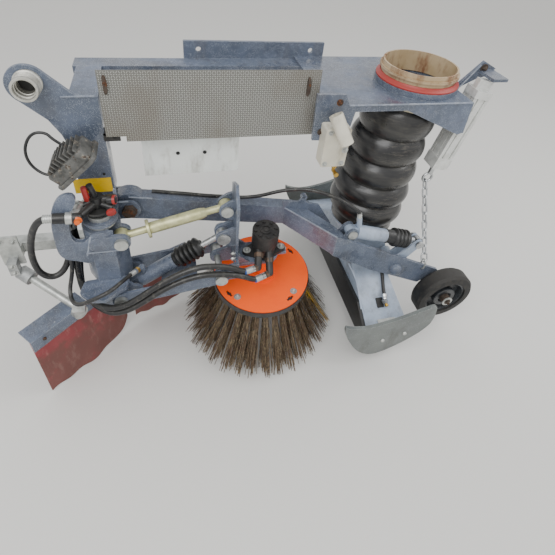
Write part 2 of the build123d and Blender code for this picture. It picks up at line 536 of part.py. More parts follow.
def both_wings(inset):
    """The outer wing and its mirror image about the middle of the nozzle."""
    wing = wing_shape(inset)
    return wing + mirror(wing, Plane((0, nozzle_mid_y, 0), z_dir=(0, 1, 0)))


def hood_shape(inset):
    """Hood from the rectangular box up to the round spigot, drawn in by an inset."""
    foot = Pos(nozzle_x, nozzle_mid_y, hood_foot_z) * Rectangle(hood_length - 2 * inset,
                                                                2 * (plenum_half_y - inset))
    head = Pos(nozzle_x, nozzle_mid_y, plenum_top_z) * Circle(hood_top_r - inset)
    return loft([foot, head])


nozzle = both_wings(0) + hood_shape(0)
nozzle -= both_wings(nozzle_wall)
nozzle -= hood_shape(nozzle_wall)
nozzle -= box(nozzle_front_x - 1, nozzle_front_x + nozzle_wall + 1, nozzle_end_y + nozzle_wall,
              far_end_y - nozzle_wall, 0, front_wall_z)
nozzle += hose_plane * bar((0, 0, -16), (0, 0, 62), spigot_r)
nozzle -= hose_plane * bar((0, 0, -40), (0, 0, 63), spigot_r - spigot_wall)
lever_near_y, lever_far_y, lever_thick = tilt_y - 22, tilt_y + 14, 8.0
for y in (lever_near_y, lever_far_y):
    nozzle += link_plate(nozzle_pin_x, nozzle_pin_z, 26, tilt_eye_x, tilt_eye_z, 18, y, lever_thick)
nozzle += cross_bar(nozzle_pin_x, nozzle_pin_z, lever_near_y, hub_far_y, 24)
nozzle -= cross_bar(nozzle_pin_x, nozzle_pin_z, 950, hub_far_y - 8, nozzle_pin_r + running_gap / 2)
nozzle -= cross_bar(tilt_eye_x, tilt_eye_z, 950, 1050, lift_pin_r + 2.5)
save(nozzle, "nozzle_body")

pivot = cross_bar(nozzle_pin_x, nozzle_pin_z, arm_plate_y - 12, tilt_y + 40, nozzle_pin_r - pin_gap)
pivot += cross_bar(nozzle_pin_x, nozzle_pin_z, arm_plate_y - 4, arm_plate_y - seat_gap, 23)
pivot += extrude(Plane((nozzle_pin_x, arm_plate_y - 4, nozzle_pin_z), (1, 0, 0), (0, -1, 0))
                 * RegularPolygon(20, 6), 12)
save(pivot, "nozzle_pivot_bolt")

# Wear skids at both ends of the nozzle
skid_outline = [(574, 256), (580, 205), (629, 124), (722, 58), (850, 66), (926, 175), (928, 314),
                (912, 332), (860, 296), (806, 268), (712, 250), (640, 250)]
skid = side_plate(skid_outline, skid_y, skid_thick, 7)
skid += box(735, 845, skid_y + skid_thick, nozzle_end_y - seat_gap, 110, 150)
save(skid, "skid_outer")
far_skid = side_plate(skid_outline, far_end_y + nozzle_end_y - skid_y - skid_thick, skid_thick, 7)
far_skid += box(735, 845, far_end_y + seat_gap, far_end_y + nozzle_end_y - skid_y - skid_thick, 110, 150)
save(far_skid, "skid_inner")

# Rubber strip across the front of the nozzle
strip = box(nozzle_front_x - seat_gap - strip_thick, nozzle_front_x - seat_gap, nozzle_end_y + 4,
            far_end_y - 4, strip_foot_z, strip_top_z)
strip_outline = [(nozzle_end_y, strip_foot_z), (far_end_y, strip_foot_z), (far_end_y, 190),
                 (far_end_y - 90, strip_top_z), (nozzle_end_y + 90, strip_top_z), (nozzle_end_y, 190)]
strip &= cross_plate(strip_outline, 600, 400)
save(strip, "front_strip")

# Nozzle tilt cylinder
tilt_len = hypot(tilt_eye_x - tilt_base_x, tilt_eye_z - tilt_base_z)
tilt_plane = Plane((tilt_base_x, tilt_y, tilt_base_z), (0, 1, 0),
                   (tilt_eye_x - tilt_base_x, 0, tilt_eye_z - tilt_base_z))
tilt_barrel = tilt_plane * barrel_shape(24, 158, 27, 20, 13, lift_pin_r + running_gap / 2, rod_r + 0.6)
tilt_hose_end = (650, 1008, 588)
tilt_barrel += bar((661, 1006, 530), tilt_hose_end, 10)
save(tilt_barrel, "tilt_barrel")
save(tilt_plane * gaiter_shape(158 + seat_gap, 278, 26, 37, 6, rod_r + 1.5), "tilt_gaiter")
tilt_rod = Pos(0, 0, (110 + tilt_len) / 2) * Cylinder(rod_r, tilt_len - 110 - 10)
tilt_rod += Pos(0, 0, tilt_len) * Rot(0, 90, 0) * Cylinder(19, 20)
tilt_rod += Pos(0, 0, tilt_len) * Rot(0, 90, 0) * Cylinder(lift_pin_r, 62)
for sx in (-1, 1):
    tilt_rod += Pos(sx * 28.5, 0, tilt_len) * Rot(0, 90, 0) * Cylinder(17, 7)
save(tilt_plane * tilt_rod, "tilt_rod")

# Hose frame: top plate on the rail, folded front edge, left post and gusset
frame_x0, frame_x1 = 470.0, 965.0
frame_top_z = frame_plate_z + frame_plate_thick
frame = box(frame_x0, frame_x1, frame_face_y - 10, rail_near_y + rail_depth, frame_plate_z, frame_top_z)
frame += side_plate([(432, 896), (427, 1046), (517, 1044), (532, frame_top_z), (frame_x1, frame_top_z),
                     (972, 900), (950, 894), (733, 988), (557, 988), (544, 890)], frame_face_y - 10, 10)
frame -= Pos(hose_top_x, nozzle_mid_y, frame_plate_z) * Cylinder(hose_bore_r + seat_gap, 60)
frame += Pos(hose_top_x, nozzle_mid_y, frame_top_z + 10) * (Cylinder(140, 20) - Cylinder(126, 22))
frame += side_plate([(958, 1000), (1046, 1100), (1100, 1076), (1086, 1052), (1040, 1040), (965, 1000)],
                    ram_y + 42, 10)
frame += box(1036, 1092, ram_y - 40, ram_y + 42, 1062, 1072)
frame += box(940, 975, ram_y + 42, rail_near_y, 990, 1000)
save(frame, "hose_frame")

duct_r, duct_top_z, duct_bead_z = 124.0, 1080.0, 1058.0
duct = bar((hose_top_x, nozzle_mid_y, frame_top_z + seat_gap), (hose_top_x, nozzle_mid_y, duct_top_z),
           duct_r, duct_r - 6)
duct += bar((hose_top_x, nozzle_mid_y, duct_bead_z), (hose_top_x, nozzle_mid_y, duct_bead_z + 8),
            duct_r + 7, duct_r - 2)
save(duct, "duct_stub")
seal = bar((hose_top_x, nozzle_mid_y, frame_top_z + 20 + seat_gap),
           (hose_top_x, nozzle_mid_y, frame_top_z + 36), 138, duct_r + seat_gap)
save(seal, "duct_seal")

# Suction hose: rounded bulges turned about a slanted axis
hose_len = (hose_head - hose_foot).length
cuff = (hose_len - hose_pitch * hose_bulges) / 2
hose_points = [(hose_bore_r, 0), (hose_r - 14, 0)]
for k in range(hose_bulges):
    z0 = cuff + k * hose_pitch
    hose_points += [(hose_r - 14, z0), (hose_r, z0 + 0.28 * hose_pitch), (hose_r, z0 + 0.72 * hose_pitch)]
hose_points += [(hose_r - 14, hose_len - cuff), (hose_r - 14, hose_len), (hose_bore_r, hose_len)]
hose = hose_plane * revolve(Plane.XZ * make_face(Polyline(*hose_points, close=True)), Axis.Z)
hose &= box(500, 1100, 1000, 1400, plenum_top_z + seat_gap, hose_top_z - seat_gap)
save(hose, "suction_hose")

# Lift cylinder: square profile barrel with end caps, fixed under the frame
ram_dir = Vector(ram_foot_x - ram_top_x, 0, ram_foot_z - ram_top_z)
ram_len = ram_dir.length
ram_plane = Plane((ram_top_x, ram_y, ram_top_z), (0, 1, 0), ram_dir)
ram = extrude(fillet(Rectangle(ram_width - 6, ram_width - 6).vertices(), 8), ram_len)
for z in (0, ram_len - 28):
    ram += Pos(0, 0, z) * extrude(fillet(Rectangle(ram_width, ram_width).vertices(), 6), 28)
ram += Pos(0, 0, -18) * Box(24, 60, 40)
ram -= Pos(0, 0, ram_len - 45) * Cylinder(11, 92)
save(ram_plane * ram, "lift_barrel")
ring_s, ring_r, ring_wire = ram_len + 58, 19.0, 5.0
rod = Pos(0, 0, ram_len - 6) * Cylinder(10, 92)
rod += Pos(0, 0, ring_s) * Rot(0, 90, 0) * Torus(ring_r, ring_wire)
save(ram_plane * rod, "lift_rod")

# Chain from the ring down to the arm
link_wire, link_pitch, link_half_width = 3.5, 30.0, 9.0
ring_centre = Vector(ram_top_x, ram_y, ram_top_z) + ram_dir.normalized() * ring_s
ring_low = ring_centre + ram_dir.normalized() * ring_r
quick_len = 54.0
chain_b = Vector(chain_hole_x, arm_plate_y + 6, chain_hole_z + quick_len - 14)
chain_a = ring_low - (chain_b - ring_low).normalized() * (link_half_width - 2.9)
chain_len = (chain_b - chain_a).length
link_count = 2 * int(chain_len / link_pitch / 2)
chain_pitch = chain_len / link_count


def link_shape(length, half_width):
    """One link along Z, a round wire bent to a long loop in the X-Z plane."""
    half = length / 2 - half_width - link_wire
    bend = Pos(0, 0, half) * Rot(90, 0, 0) * Torus(half_width, link_wire)
    bend &= box(-60, 60, -60, 60, half, half + 60)
    shape = bend + mirror(bend, Plane.XY)
    for sx in (-1, 1):
        shape += Pos(sx * half_width, 0, 0) * Cylinder(link_wire, 2 * half)
    return shape


chain_plane = Plane(chain_a, (1, 0, 0), chain_b - chain_a)
chain = Part()
overlap_len = 4 * link_wire - 1.2
for k in range(link_count):
    turn = 90 * ((k + 1) % 2)
    half_width = 13.0 if k == link_count - 1 else link_half_width
    chain += chain_plane * Pos(0, 0, (k + 0.5) * chain_pitch) * Rot(0, 0, turn) \
        * link_shape(chain_pitch + overlap_len, half_width)
save(chain, "lift_chain")

# Quick link through the hole in the arm
quick = Pos(chain_hole_x, arm_plate_y + arm_plate_thick / 2, chain_hole_z + quick_len / 2 - link_wire) \
    * Rot(0, 0, 90) * link_shape(quick_len, 12)
save(quick, "quick_link")

# Curtain rail and the red curtains
angle_len, angle_leg, angle_thick, curtain_low_z = 205.0, 46.0, 5.0, 270.0
cur_a, cur_b = Vector(*curtain_a), Vector(*curtain_b)
cur_dir = (cur_b - cur_a).normalized()
cur_len = (cur_b - cur_a).length
cur_plane = Plane((curtain_a[0], curtain_a[1], 0), (cur_dir.X, cur_dir.Y, 0), (0, 0, 1))
front_curtain = cur_plane * box(0, cur_len - 10, 0, curtain_thick, curtain_foot_z, curtain_top_z)
front_curtain -= cur_plane * box(angle_len, cur_len + 10, -10, 20, curtain_low_z, curtain_top_z + 10)
save(front_curtain, "front_curtain")
angle = cur_plane * (
    box(0, angle_len, -angle_thick, -seat_gap, curtain_top_z - angle_leg, curtain_top_z + angle_thick)
    + box(0, angle_len, -angle_thick, 62, curtain_top_z + seat_gap, curtain_top_z + angle_thick)
    + box(angle_len - 20, 267.5, -angle_thick, -seat_gap, curtain_top_z - angle_leg, curtain_top_z - 18))
save(angle, "curtain_rail")
rear_a, rear_b = Vector(-178, 1128), Vector(46, 1234)
rear_dir = (rear_b - rear_a).normalized()
rear_plane = Plane((rear_a.X, rear_a.Y, 0), (rear_dir.X, rear_dir.Y, 0), (0, 0, 1))
rear_len = (rear_b - rear_a).length
rear_curtain = rear_plane * box(0, rear_len, 0, curtain_thick, 30, 318)
save(rear_curtain, "rear_curtain")
rear_rail = rear_plane * box(-4, rear_len, curtain_thick + seat_gap, curtain_thick + 8, 292, 322)
save(rear_rail, "rear_curtain_rail")

# Front stay: bracket, clamp, tube and ring end that brace the curtain rail
stay_foot, stay_head = (-329.0, 967.0, 337.0), (-508.0, 1099.0, 402.0)
stay_y = 1122.0
stay_bracket = box(-545, -482, 1098, 1106, 440, 560)
stay_bracket += box(-545, leg_left_x, stay_y, stay_y + 40, 470, 510)
stay_bracket += box(-545, -482, 1106, stay_y, 470, 510)
save(stay_bracket, "stay_bracket")
stay_tube_r = 12.5
stay_line = Vector(*stay_foot) - Vector(*stay_head)
clamp = bar(stay_head, Vector(*stay_head) + stay_line.normalized() * 46, 24, stay_tube_r + seat_gap)
clamp += box(-528, -500, 1070, 1098 - seat_gap, 416, 470)
clamp -= bar(stay_head, stay_foot, stay_tube_r + seat_gap)
save(clamp, "stay_clamp")
stay = bar(Vector(*stay_head) + stay_line.normalized() * 4, stay_foot, stay_tube_r)
stay += bar(cur_plane.from_local_coords((165, -28, stay_foot[2] - 20)),
            cur_plane.from_local_coords((165, -angle_thick - seat_gap, stay_foot[2] - 20)), 24)
save(stay, "stay_rod")

# Water coupling with its threaded mouth
coupling = cross_bar(coupling_x, coupling_z, 1050, column_face_y - seat_gap, coupling_r, coupling_bore_r)
coupling += cross_bar(coupling_x, coupling_z, 1084, column_face_y - seat_gap, coupling_r + 8, coupling_bore_r)
coupling += cross_bar(coupling_x, coupling_z, column_face_y - 1, 1150, coupling_r - 5, coupling_bore_r)
save(coupling, "fill_coupling")

# Work lamp with cooling fins
lamp_place = Pos(-252, 1040, 890) * Rot(30, 0, 0) * Rot(0, -32, 0)
lamp = fillet(Box(112, 42, 104).edges().filter_by(Axis.Y), 10)
fin_count = 8
for k in range(fin_count):
    lamp += Pos(0, -28, -45 + k * 90 / (fin_count - 1)) * Box(96, 22, 5)
lamp += Pos(0, 24, 0) * Box(60, 8, 70)
lamp_stem = bar((-240, 1050, 850), (-236, column_face_y - 8, 826), 12)
lamp_stem += box(-256, -216, column_face_y - 8, column_face_y - seat_gap, 806, 846)
save(lamp_place * lamp + lamp_stem, "work_lamp")

# Skirt panel, its brackets and the white splash plate
skirt_y, skirt_thick = 1088.0, 3.0
skirt = side_plate([(-158, 1100), (446, 1100), (450, 893), (-108, 893), (-108, 910), (-160, 910)],
                   skirt_y, skirt_thick)
save(skirt, "skirt_panel")
skirt_brackets = Part()
for x in (-40, 190):
    skirt_brackets += box(x - 15, x + 15, skirt_y + skirt_thick + seat_gap, rail_near_y - seat_gap, 940, 970)
save(skirt_brackets, "skirt_brackets")
splash = box(-74, 226, 1150, 1153, 728, 940)
splash += box(-74, 226, 1150, 1190, 728, 731)
save(splash, "splash_plate")

# Control valve box with a tube hood
valve = fillet(box(455, 535, 1000, frame_face_y - 10 - seat_gap, 826, 958).edges().filter_by(Axis.Y), 6)
valve += bar((474, 1002, 1004), (512, 968, 926), 21, 17)
valve += box(478, 496, 990, 1012, 950, 985)
save(valve, "valve_box")

# Hose swivel on the king pin: dish, spindle and branch fittings
swivel_base_z = upper_lug_z + lug_thick + 14.6
swivel = Pos(king_x, king_y, swivel_base_z) * revolve(Plane.XZ * make_face(Polyline(
    (0, 0), (26, 0), (44, 20), (44, 26), (20, 26), (20, 62), (0, 62), close=True)), Axis.Z)
swivel_branches = (
    ((king_x, king_y, 718), (-262, 1030, 700), 13),
    ((king_x, king_y, 718), (-260, 1052, 700), 13),
    ((king_x, king_y, 734), (-260, 1014, 728), 10),
    ((king_x, king_y, 724), (-166, 1012, 718), 11),
    ((king_x, king_y, 734), (-158, 1030, 742), 11),
    ((king_x, king_y, 740), (-222, 1030, 792), 9),
    ((king_x, king_y, 726), (-256, 966, 729), 12),
    ((-256, 966, 729), (-318, 962, 736), 15),
)
for inner_end, outer_end, r in swivel_branches:
    swivel += bar(inner_end, outer_end, r)
swivel += Pos(-256, 966, 729) * Sphere(15)
save(swivel, "hose_swivel")

# Hydraulic hoses, each straight out of one fitting and into the next
upper_port, lower_port, lift_port_top = swivel_branches[:3]
loop_port = swivel_branches[-1]
upper_elbow, lower_elbow = motor_elbows
upper_route = (
    *leaving(upper_elbow[1], upper_elbow[2]), (170, 920, 502), (120, 916, 521), (70, 915, 527), (9, 915, 507),
    (-64, 910, 468), (-139, 905, 412), (-195, 908, 383), (-245, 930, 370), (-285, 962, 372), (-306, 992, 402),
    (-310, 1012, 460), (-304, 1022, 520), (-300, 1032, 580), (-302, 1038, 640), *entering(*upper_port[:2]),
)
lower_route = (
    *leaving(lower_elbow[1], lower_elbow[2]), (210, 914, 460), (150, 912, 481), (85, 912, 491),
    (20, 912, 478), (-50, 909, 446), (-110, 905, 404), (-165, 904, 369), (-212, 914, 350), (-256, 946, 341),
    (-292, 984, 347), (-313, 1018, 378), (-312, 1040, 432), (-300, 1054, 492), (-294, 1060, 550),
    (-300, 1064, 620), *entering(*lower_port[:2]),
)
save(hose_tube(upper_route, hose_radius) + hose_tube(lower_route, hose_radius), "motor_hoses")
lift_route = (
    *leaving(lift_corner, lift_hose_end), (-170, 930, 484), (-203, 888, 492), (-238, 877, 484),
    (-278, 886, 455), (-312, 910, 422), (-334, 944, 408), (-338, 976, 428), (-326, 998, 467),
    (-318, 1003, 510), (-313, 1003, 560), (-312, 1004, 620), (-308, 1004, 680), *entering(*lift_port_top[:2]),
)
save(hose_tube(lift_route, small_hose_radius), "lift_hose")
loop_route = (
    *leaving(*loop_port[:2]), (-372, 972, 706), (-396, 986, 652), (-414, 1000, 592), (-424, 1010, 530),
    (-420, 1016, 470), (-394, 1022, 438), (-362, 1032, 446), (-340, 1050, 480), (-328, 1074, 530),
    (-320, 1106, 580), (-302, 1136, 626), (-278, 1144, 638), (-252.3, 1144, 638),
)
save(hose_tube(loop_route, hose_radius), "loop_hose")
tilt_route = (
    (-60, 1147, 667), (0, 1149, 654), (60, 1147, 644), (120, 1146, 631), (180, 1148, 621), (245, 1142, 614),
    (304, 1128, 626), (360, 1110, 655), (420, 1095, 673), (476, 1070, 682), (522, 1050, 676), (569, 1034, 660),
    (610, 1020, 636), *entering((661, 1006, 530), tilt_hose_end, 26),
)
save(hose_tube(tilt_route, small_hose_radius), "tilt_hose")
cable_route = ((-268, 1064, 916), (-293, 1066, 920), (-321, 1070, 907), (-347, 1075, 881), (-357, 1080, 853),
               (-352, 1080, 828), (-334, 1074, 816), (-312, 1064, 824))
save(hose_tube(cable_route, 5), "lamp_cable")
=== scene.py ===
import math

import bmesh
import bpy
from mathutils import Matrix, Vector


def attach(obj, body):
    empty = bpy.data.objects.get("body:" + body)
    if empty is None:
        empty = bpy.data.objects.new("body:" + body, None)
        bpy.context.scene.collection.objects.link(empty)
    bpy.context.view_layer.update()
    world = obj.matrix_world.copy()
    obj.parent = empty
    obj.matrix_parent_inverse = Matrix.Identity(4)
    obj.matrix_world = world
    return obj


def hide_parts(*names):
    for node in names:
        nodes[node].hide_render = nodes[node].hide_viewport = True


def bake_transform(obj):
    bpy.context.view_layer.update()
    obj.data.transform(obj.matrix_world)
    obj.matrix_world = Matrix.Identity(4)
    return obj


# Side sweep unit of a street sweeper, hung on a chassis rail: gutter brush on a parallel
# linkage, trailing suction nozzle with its hose, gauge wheel and red rubber curtains.
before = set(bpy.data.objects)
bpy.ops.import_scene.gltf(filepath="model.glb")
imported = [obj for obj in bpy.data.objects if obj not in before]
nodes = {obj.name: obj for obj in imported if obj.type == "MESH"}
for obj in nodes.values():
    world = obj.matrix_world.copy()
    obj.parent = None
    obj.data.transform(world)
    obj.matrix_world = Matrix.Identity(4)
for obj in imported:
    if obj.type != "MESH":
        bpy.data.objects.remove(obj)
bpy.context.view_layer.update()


# Camera at a standing person's height beside the unit, looking down and to the rear.
# Places are written in millimetres from the road below it: to the rear, inboard and up.
mount = Vector((330, 1452, 945))


def road(x, y, z):
    """Point in metres in the frame of the chassis bolts."""
    return (Vector((x, y, z)) - mount) / 1000


def put(name, data):
    """Object of a name and its data, put in the scene."""
    made = bpy.data.objects.new(name, data)
    bpy.context.scene.collection.objects.link(made)
    return made


eye_height = 1540
right, up = Vector((0.966, -0.239, 0.096)).normalized(), Vector((0.082, 0.637, 0.767))
back = right.cross(up).normalized()
camera = put("camera", bpy.data.cameras.new("camera"))
camera.matrix_world = Matrix((right, back.cross(right), back)).transposed().to_4x4()
camera.matrix_world.translation = road(0, 0, eye_height)
camera.data.sensor_width, camera.data.lens, camera.data.shift_y = 36, 27.05, -0.1252
camera.data.clip_start, camera.data.clip_end = 0.05, 60
bpy.context.scene.camera = camera


# Frame, post, linkage and long arm: welded steel in brushed-on slate paint, wet with fine
# rain whose drops carry painted glints, and scuffed to bright metal at the edges, which
# also carry a painted edge highlight. Finishes are expressions on fields.
def add_node(tree, kind, settings, values, out=0):
    """Output of a new node with its settings and the values of its inputs."""
    made = tree.nodes.new(kind)
    for key, value in settings.items():
        setattr(made, key, value)
    for key, value in values.items():
        if isinstance(value, bpy.types.NodeSocket):
            tree.links.new(value, made.inputs[key])
        else:
            made.inputs[key].default_value = value
    return made.outputs[out]


class Field:
    """A value that varies over a surface, written with the usual operators."""

    def __init__(self, finish, socket):
        self.finish, self.socket = finish, socket

    def math(self, operation, *values):
        return self.finish.node("Math", {"operation": operation}, dict(enumerate(values)))

    def __add__(self, other):
        return self.math("ADD", self, other)

    def __mul__(self, other):
        return self.math("MULTIPLY", self, other)

    def __sub__(self, other):
        return self.math("SUBTRACT", self, other)

    def __rsub__(self, other):
        return self.math("SUBTRACT", other, self)

    __radd__, __rmul__ = __add__, __mul__

    def above(self, low, high):
        """0 below low and 1 above high, smooth between them."""
        return self.finish.node("MapRange", {"interpolation_type": "SMOOTHSTEP"},
                                {"Value": self, "From Min": low, "From Max": high})

    def either(self, other):
        return self.math("MAXIMUM", self, other)


class Finish:
    """A node material under construction."""

    def __init__(self, name):
        self.material = bpy.data.materials.new(name)
        self.material.use_nodes = True
        self.tree = self.material.node_tree
        self.tree.nodes.clear()
        self.place = self.node("TexCoord", out="Object")

    def node(self, kind, settings={}, values={}, out=0):
        """Adds a shader node; its values are fields, numbers or colour codes."""
        plain = {}
        for key, value in values.items():
            plain[key] = value.socket if isinstance(value, Field) else value
            if isinstance(value, str):
                plain[key] = colour(value)
        return Field(self, add_node(self.tree, "ShaderNode" + kind, settings, plain, out))

    def spot(self, stretch):
        """The surface's own place, scaled along each axis."""
        return self.node("VectorMath", {"operation": "MULTIPLY"}, {0: self.place, 1: stretch})

    def noise(self, scale, detail=4, rough=0.55, stretch=(1, 1, 1)):
        return self.node("TexNoise", {}, {"Vector": self.spot(stretch), "Scale": scale,
                                          "Detail": detail, "Roughness": rough})

    def cells(self, scale):
        """Distance to the nearest of scattered points."""
        return self.node("TexVoronoi", {}, {"Vector": self.spot((1, 1, 1)), "Scale": scale})

    def along(self, axis):
        """Place of the surface along X, Y or Z, in metres."""
        return self.node("SeparateXYZ", {}, {0: self.place}, axis)

    def facing_up(self):
        """1 where the surface faces the sky, 0 where it is upright or faces the road."""
        normal = self.node("NewGeometry", out="Normal")
        return self.node("SeparateXYZ", {}, {0: normal}, "Z").above(0.25, 0.85)

    def edges(self, width):
        """1 along outer edges, where wear takes the paint first and where a painted edge highlight goes."""
        rounded_off = self.node("Bevel", {"samples": 4}, {"Radius": width})
        flat = self.node("NewGeometry", out="Normal")
        turn = self.node("VectorMath", {"operation": "DOT_PRODUCT"}, {0: rounded_off, 1: flat}, "Value")
        return (1 - turn).above(0.02, 0.14)

    def coats(self, under, *rows):
        """A colour with others laid on it in turn; rows are amount and colour."""
        for amount, over in rows:
            under = self.node("Mix", {"data_type": "RGBA"}, {0: amount, 6: under, 7: over}, 2)
        return under

    def bump(self, height, depth, distance=0.001):
        return self.node("Bump", {}, {"Strength": depth, "Distance": distance, "Height": height})

    def done(self, values):
        """Closes the material with a Principled shader and returns it."""
        shader = self.node("BsdfPrincipled", {}, values)
        output = self.tree.nodes.new("ShaderNodeOutputMaterial")
        self.tree.links.new(shader.socket, output.inputs["Surface"])
        return self.material


def colour(code):
    """Linear colour from a six digit screen code."""
    parts = [int(code[i:i + 2], 16) / 255 for i in (0, 2, 4)]
    return (*[p / 12.92 if p < 0.04045 else ((p + 0.055) / 1.055) ** 2.4 for p in parts], 1)


def dress(material, *names):
    """Puts one finish on CAD nodes."""
    for name in names:
        slots = nodes[name].data.materials
        slots.clear()
        slots.append(material)


def wet_paint(name, paint, light, dirt, bare_metal_and_highlight, wear=0.5, grime=0.5, wet=1.0):
    """Paint that is mottled, chipped, dusty on top and wet with drops; the drops carry painted glints and the
    worn edges a painted highlight.
    """
    f = Finish(name)
    mottle = f.noise(9, 5)
    # drops and specks of rain are painted lighter than the paint: painted glints; the drops also raise the
    # bump
    drop_and_glint = (1 - f.cells(420)).above(0.6, 0.8) * f.noise(60, 2).above(0.36, 0.56) * wet
    speck_glint = (1 - f.cells(900).above(0.0, 0.28)) * wet
    dust = f.noise(28, 6, 0.7).above(0.5, 0.72) * f.facing_up()
    stain = f.noise(14, 6, 0.65, (1, 1, 0.35)).above(0.5, 0.7) * grime
    damp = f.noise(6, 4, 0.6).above(0.45, 0.62) * wet
    # worn edges, which also carry a painted highlight along the edges
    edge = f.edges(0.003) * f.noise(70, 4).above(0.58 - 0.3 * wear, 0.72)
    chips = f.noise(55, 5, 0.7).above(0.74 - 0.07 * wear, 0.78 - 0.07 * wear)
    worn_and_edge_highlight = edge.either(chips)
    base = f.coats(paint, (mottle.above(0.3, 0.75), light), (damp * 0.4, "2E343F"), (stain * 0.6, dirt),
                   (drop_and_glint * 0.55, "BFC6D0"), (speck_glint * 0.3, "A3AAB6"), (dust * 0.3, dirt), (worn_and_edge_highlight * 0.8, bare_metal_and_highlight))
    height = mottle * 0.25 + drop_and_glint * 0.8 - worn_and_edge_highlight * 0.5
    return f.done({"Base Color": base, "Roughness": 0.4 + stain * 0.3 + dust * 0.2 - damp * 0.22,
                   "Metallic": worn_and_edge_highlight * 0.5, "Normal": f.bump(height, 0.6, 0.0007),
                   "Coat Weight": damp * 0.5, "Coat Roughness": 0.12})


# the slate's wear also sets how strong its painted edge highlight is
slate = wet_paint("slate_paint", "535C6B", "646E81", "4E4842", "C2C6CB", wear=0.8)
dress(slate, "carrier_rail", "hanger_column", "king_bracket", "king_upper_lug", "skirt_brackets",
      "hose_frame", "curtain_rail", "rear_curtain_rail", "king_post", "lower_arm",
      "brush_head", "brush_lift_barrel", "trailing_arm", "nozzle_pivot_bolt")


# Other painted steel: pale nozzle and tilt cylinder, white splash plate, cream valve box,
# black hub and the cream duct with its rust.
pale = wet_paint("pale_grey_paint", "95A3B6", "ABB7C7", "5E574C", "D0D3D6", wear=0.8, grime=0.8, wet=0.6)
hub_black = wet_paint("hub_black", "1B1D1F", "2A2D2F", "4E4A44", "6E7070", wear=0.5, grime=0.5, wet=0.3)
dress(pale, "nozzle_body", "tilt_barrel")
dress(hub_black, "wheel_hub")
dress(wet_paint("white_panel_paint", "F2F6F3", "E8EBE6", "8A8272", "9A9A94", 0.2, 0.9, 0.2), "splash_plate")
dress(wet_paint("valve_cream", "D8D4C4", "C6C0AC", "6E5A40", "8E8A80", 0.5, 1.2, 0.2), "valve_box")
dress(wet_paint("duct_cream", "BCA888", "A8926E", "6E3F20", "7E3F1C", 1.0, 1.5, 0.1), "duct_stub")


# Bare and plated metal: zinc pins and stay, yellow passivated tie rod, bright rods and
# chain, rusty bolts, the oily cast motor and brass fittings.
def plain_metal(name, metal, tint, rust, rust_share=0.2, rough=0.38, metallic=0.9):
    """Metal with clouds of tint, fine scratches and patches of rust."""
    f = Finish(name)
    cloud = f.noise(40, 5, 0.6)
    rusty = f.noise(55, 6, 0.7).above(0.72 - 0.35 * rust_share, 0.82 - 0.35 * rust_share)
    scratch = f.noise(120, 2, 0.5, (1, 0.08, 1)).above(0.6, 0.75)
    speckled = f.coats(rust, (f.noise(180, 3).above(0.4, 0.6), "3E2A1E"))
    base = f.coats(metal, (cloud.above(0.35, 0.7), tint), (rusty, speckled))
    return f.done({"Base Color": base, "Metallic": metallic - rusty * 0.85 * metallic,
                   "Roughness": rough + cloud * 0.12 + rusty * 0.4 - scratch * 0.08,
                   "Normal": f.bump(cloud * 0.3 + rusty * 0.7 + scratch * 0.2, 0.5, 0.0005)})


zinc = plain_metal("dull_zinc", "C4C6C2", "A5A7A3", "6A5642", 0.2, 0.36, 0.75)
yellow_zinc = plain_metal("yellow_zinc", "CDCBA0", "B0AE82", "6A5642", 0.15, 0.4, 0.7)
steel = plain_metal("bright_steel", "D2D4D5", "AEB0B1", "6A4A35", 0.1, 0.25)
rust_metal = plain_metal("rusty_steel", "5C5148", "3C352F", "70472C", 0.6, 0.6, 0.5)
oily_black = plain_metal("oily_black_casting", "2C2B2B", "3D3B39", "5C3E2A", 0.22, 0.42, 0.35)
brass = plain_metal("brass", "C8A75A", "A5823C", "5E6A4A", 0.1, 0.3)
dress(zinc, "king_pin", "stay_rod", "stay_bracket", "post_pins", "head_pins", "tilt_base_pin", "quick_link")
dress(yellow_zinc, "tie_rod")
dress(steel, "brush_lift_rod", "tilt_rod", "lift_rod", "lift_chain")
dress(rust_metal, "pivot_bolt", "wheel_axle")
dress(oily_black, "brush_motor")
dress(plain_metal("cast_alloy", "B7B9B8", "97999A", "6F6353", 0.15, 0.5, 0.7), "stay_clamp")


# Rubber and plastic: front strip of the nozzle, tyre, swivel and the back of the brush,
# lighter in patches of dust and where it faces up, and dull.
def soft_black(name, clean, dust_and_top_colour, dusty=0.5, rough=0.55):
    """Rubber or plastic, lighter in patches of dust and where it faces up."""
    f = Finish(name)
    cloud = f.noise(22, 5)
    dust = f.noise(48, 6, 0.7).above(0.45, 0.7) * dusty
    # lighter in dust patches and evenly where the surface faces up
    dust_patches_and_top = dust.either(f.facing_up() * dusty * 0.5)
    base = f.coats(clean, (dust_patches_and_top * 0.8, dust_and_top_colour))
    return f.done({"Base Color": base, "Roughness": rough + dust * 0.3 - cloud * 0.15,
                   "Normal": f.bump(f.noise(300, 2) + cloud, 0.35, 0.0005)})


rubber = soft_black("black_rubber", "1B1C1E", "54524D", 0.4, 0.42)
plastic = soft_black("black_plastic", "191A1C", "5A5852", 0.5, 0.38)
dress(rubber, "front_strip")
dress(plastic, "hose_swivel", "brush_base")
dress(soft_black("tyre_rubber", "161616", "4E4A44", 0.6, 0.7), "wheel_tyre")


# Brush disc: orange polyurethane plate that carries the tufts, wet, with fine grit on it.
# Its keyholes are in the CAD.
def orange_disc():
    f = Finish("orange_disc")
    grit = (1 - f.cells(520).above(0.0, 0.2)) * f.noise(35, 3).above(0.45, 0.6)
    patch = f.noise(18, 5, 0.6).above(0.45, 0.65)
    base = f.coats("FF5C0A", (patch * 0.35, "F64E08"), (grit * 0.6, "8A4A2A"))
    return f.done({"Base Color": base, "Roughness": 0.5 + patch * 0.15, "Specular IOR Level": 0.3,
                   "Normal": f.bump(f.noise(240, 2) + patch * 0.4, 0.3, 0.0004)})


dress(orange_disc(), "brush_disc")


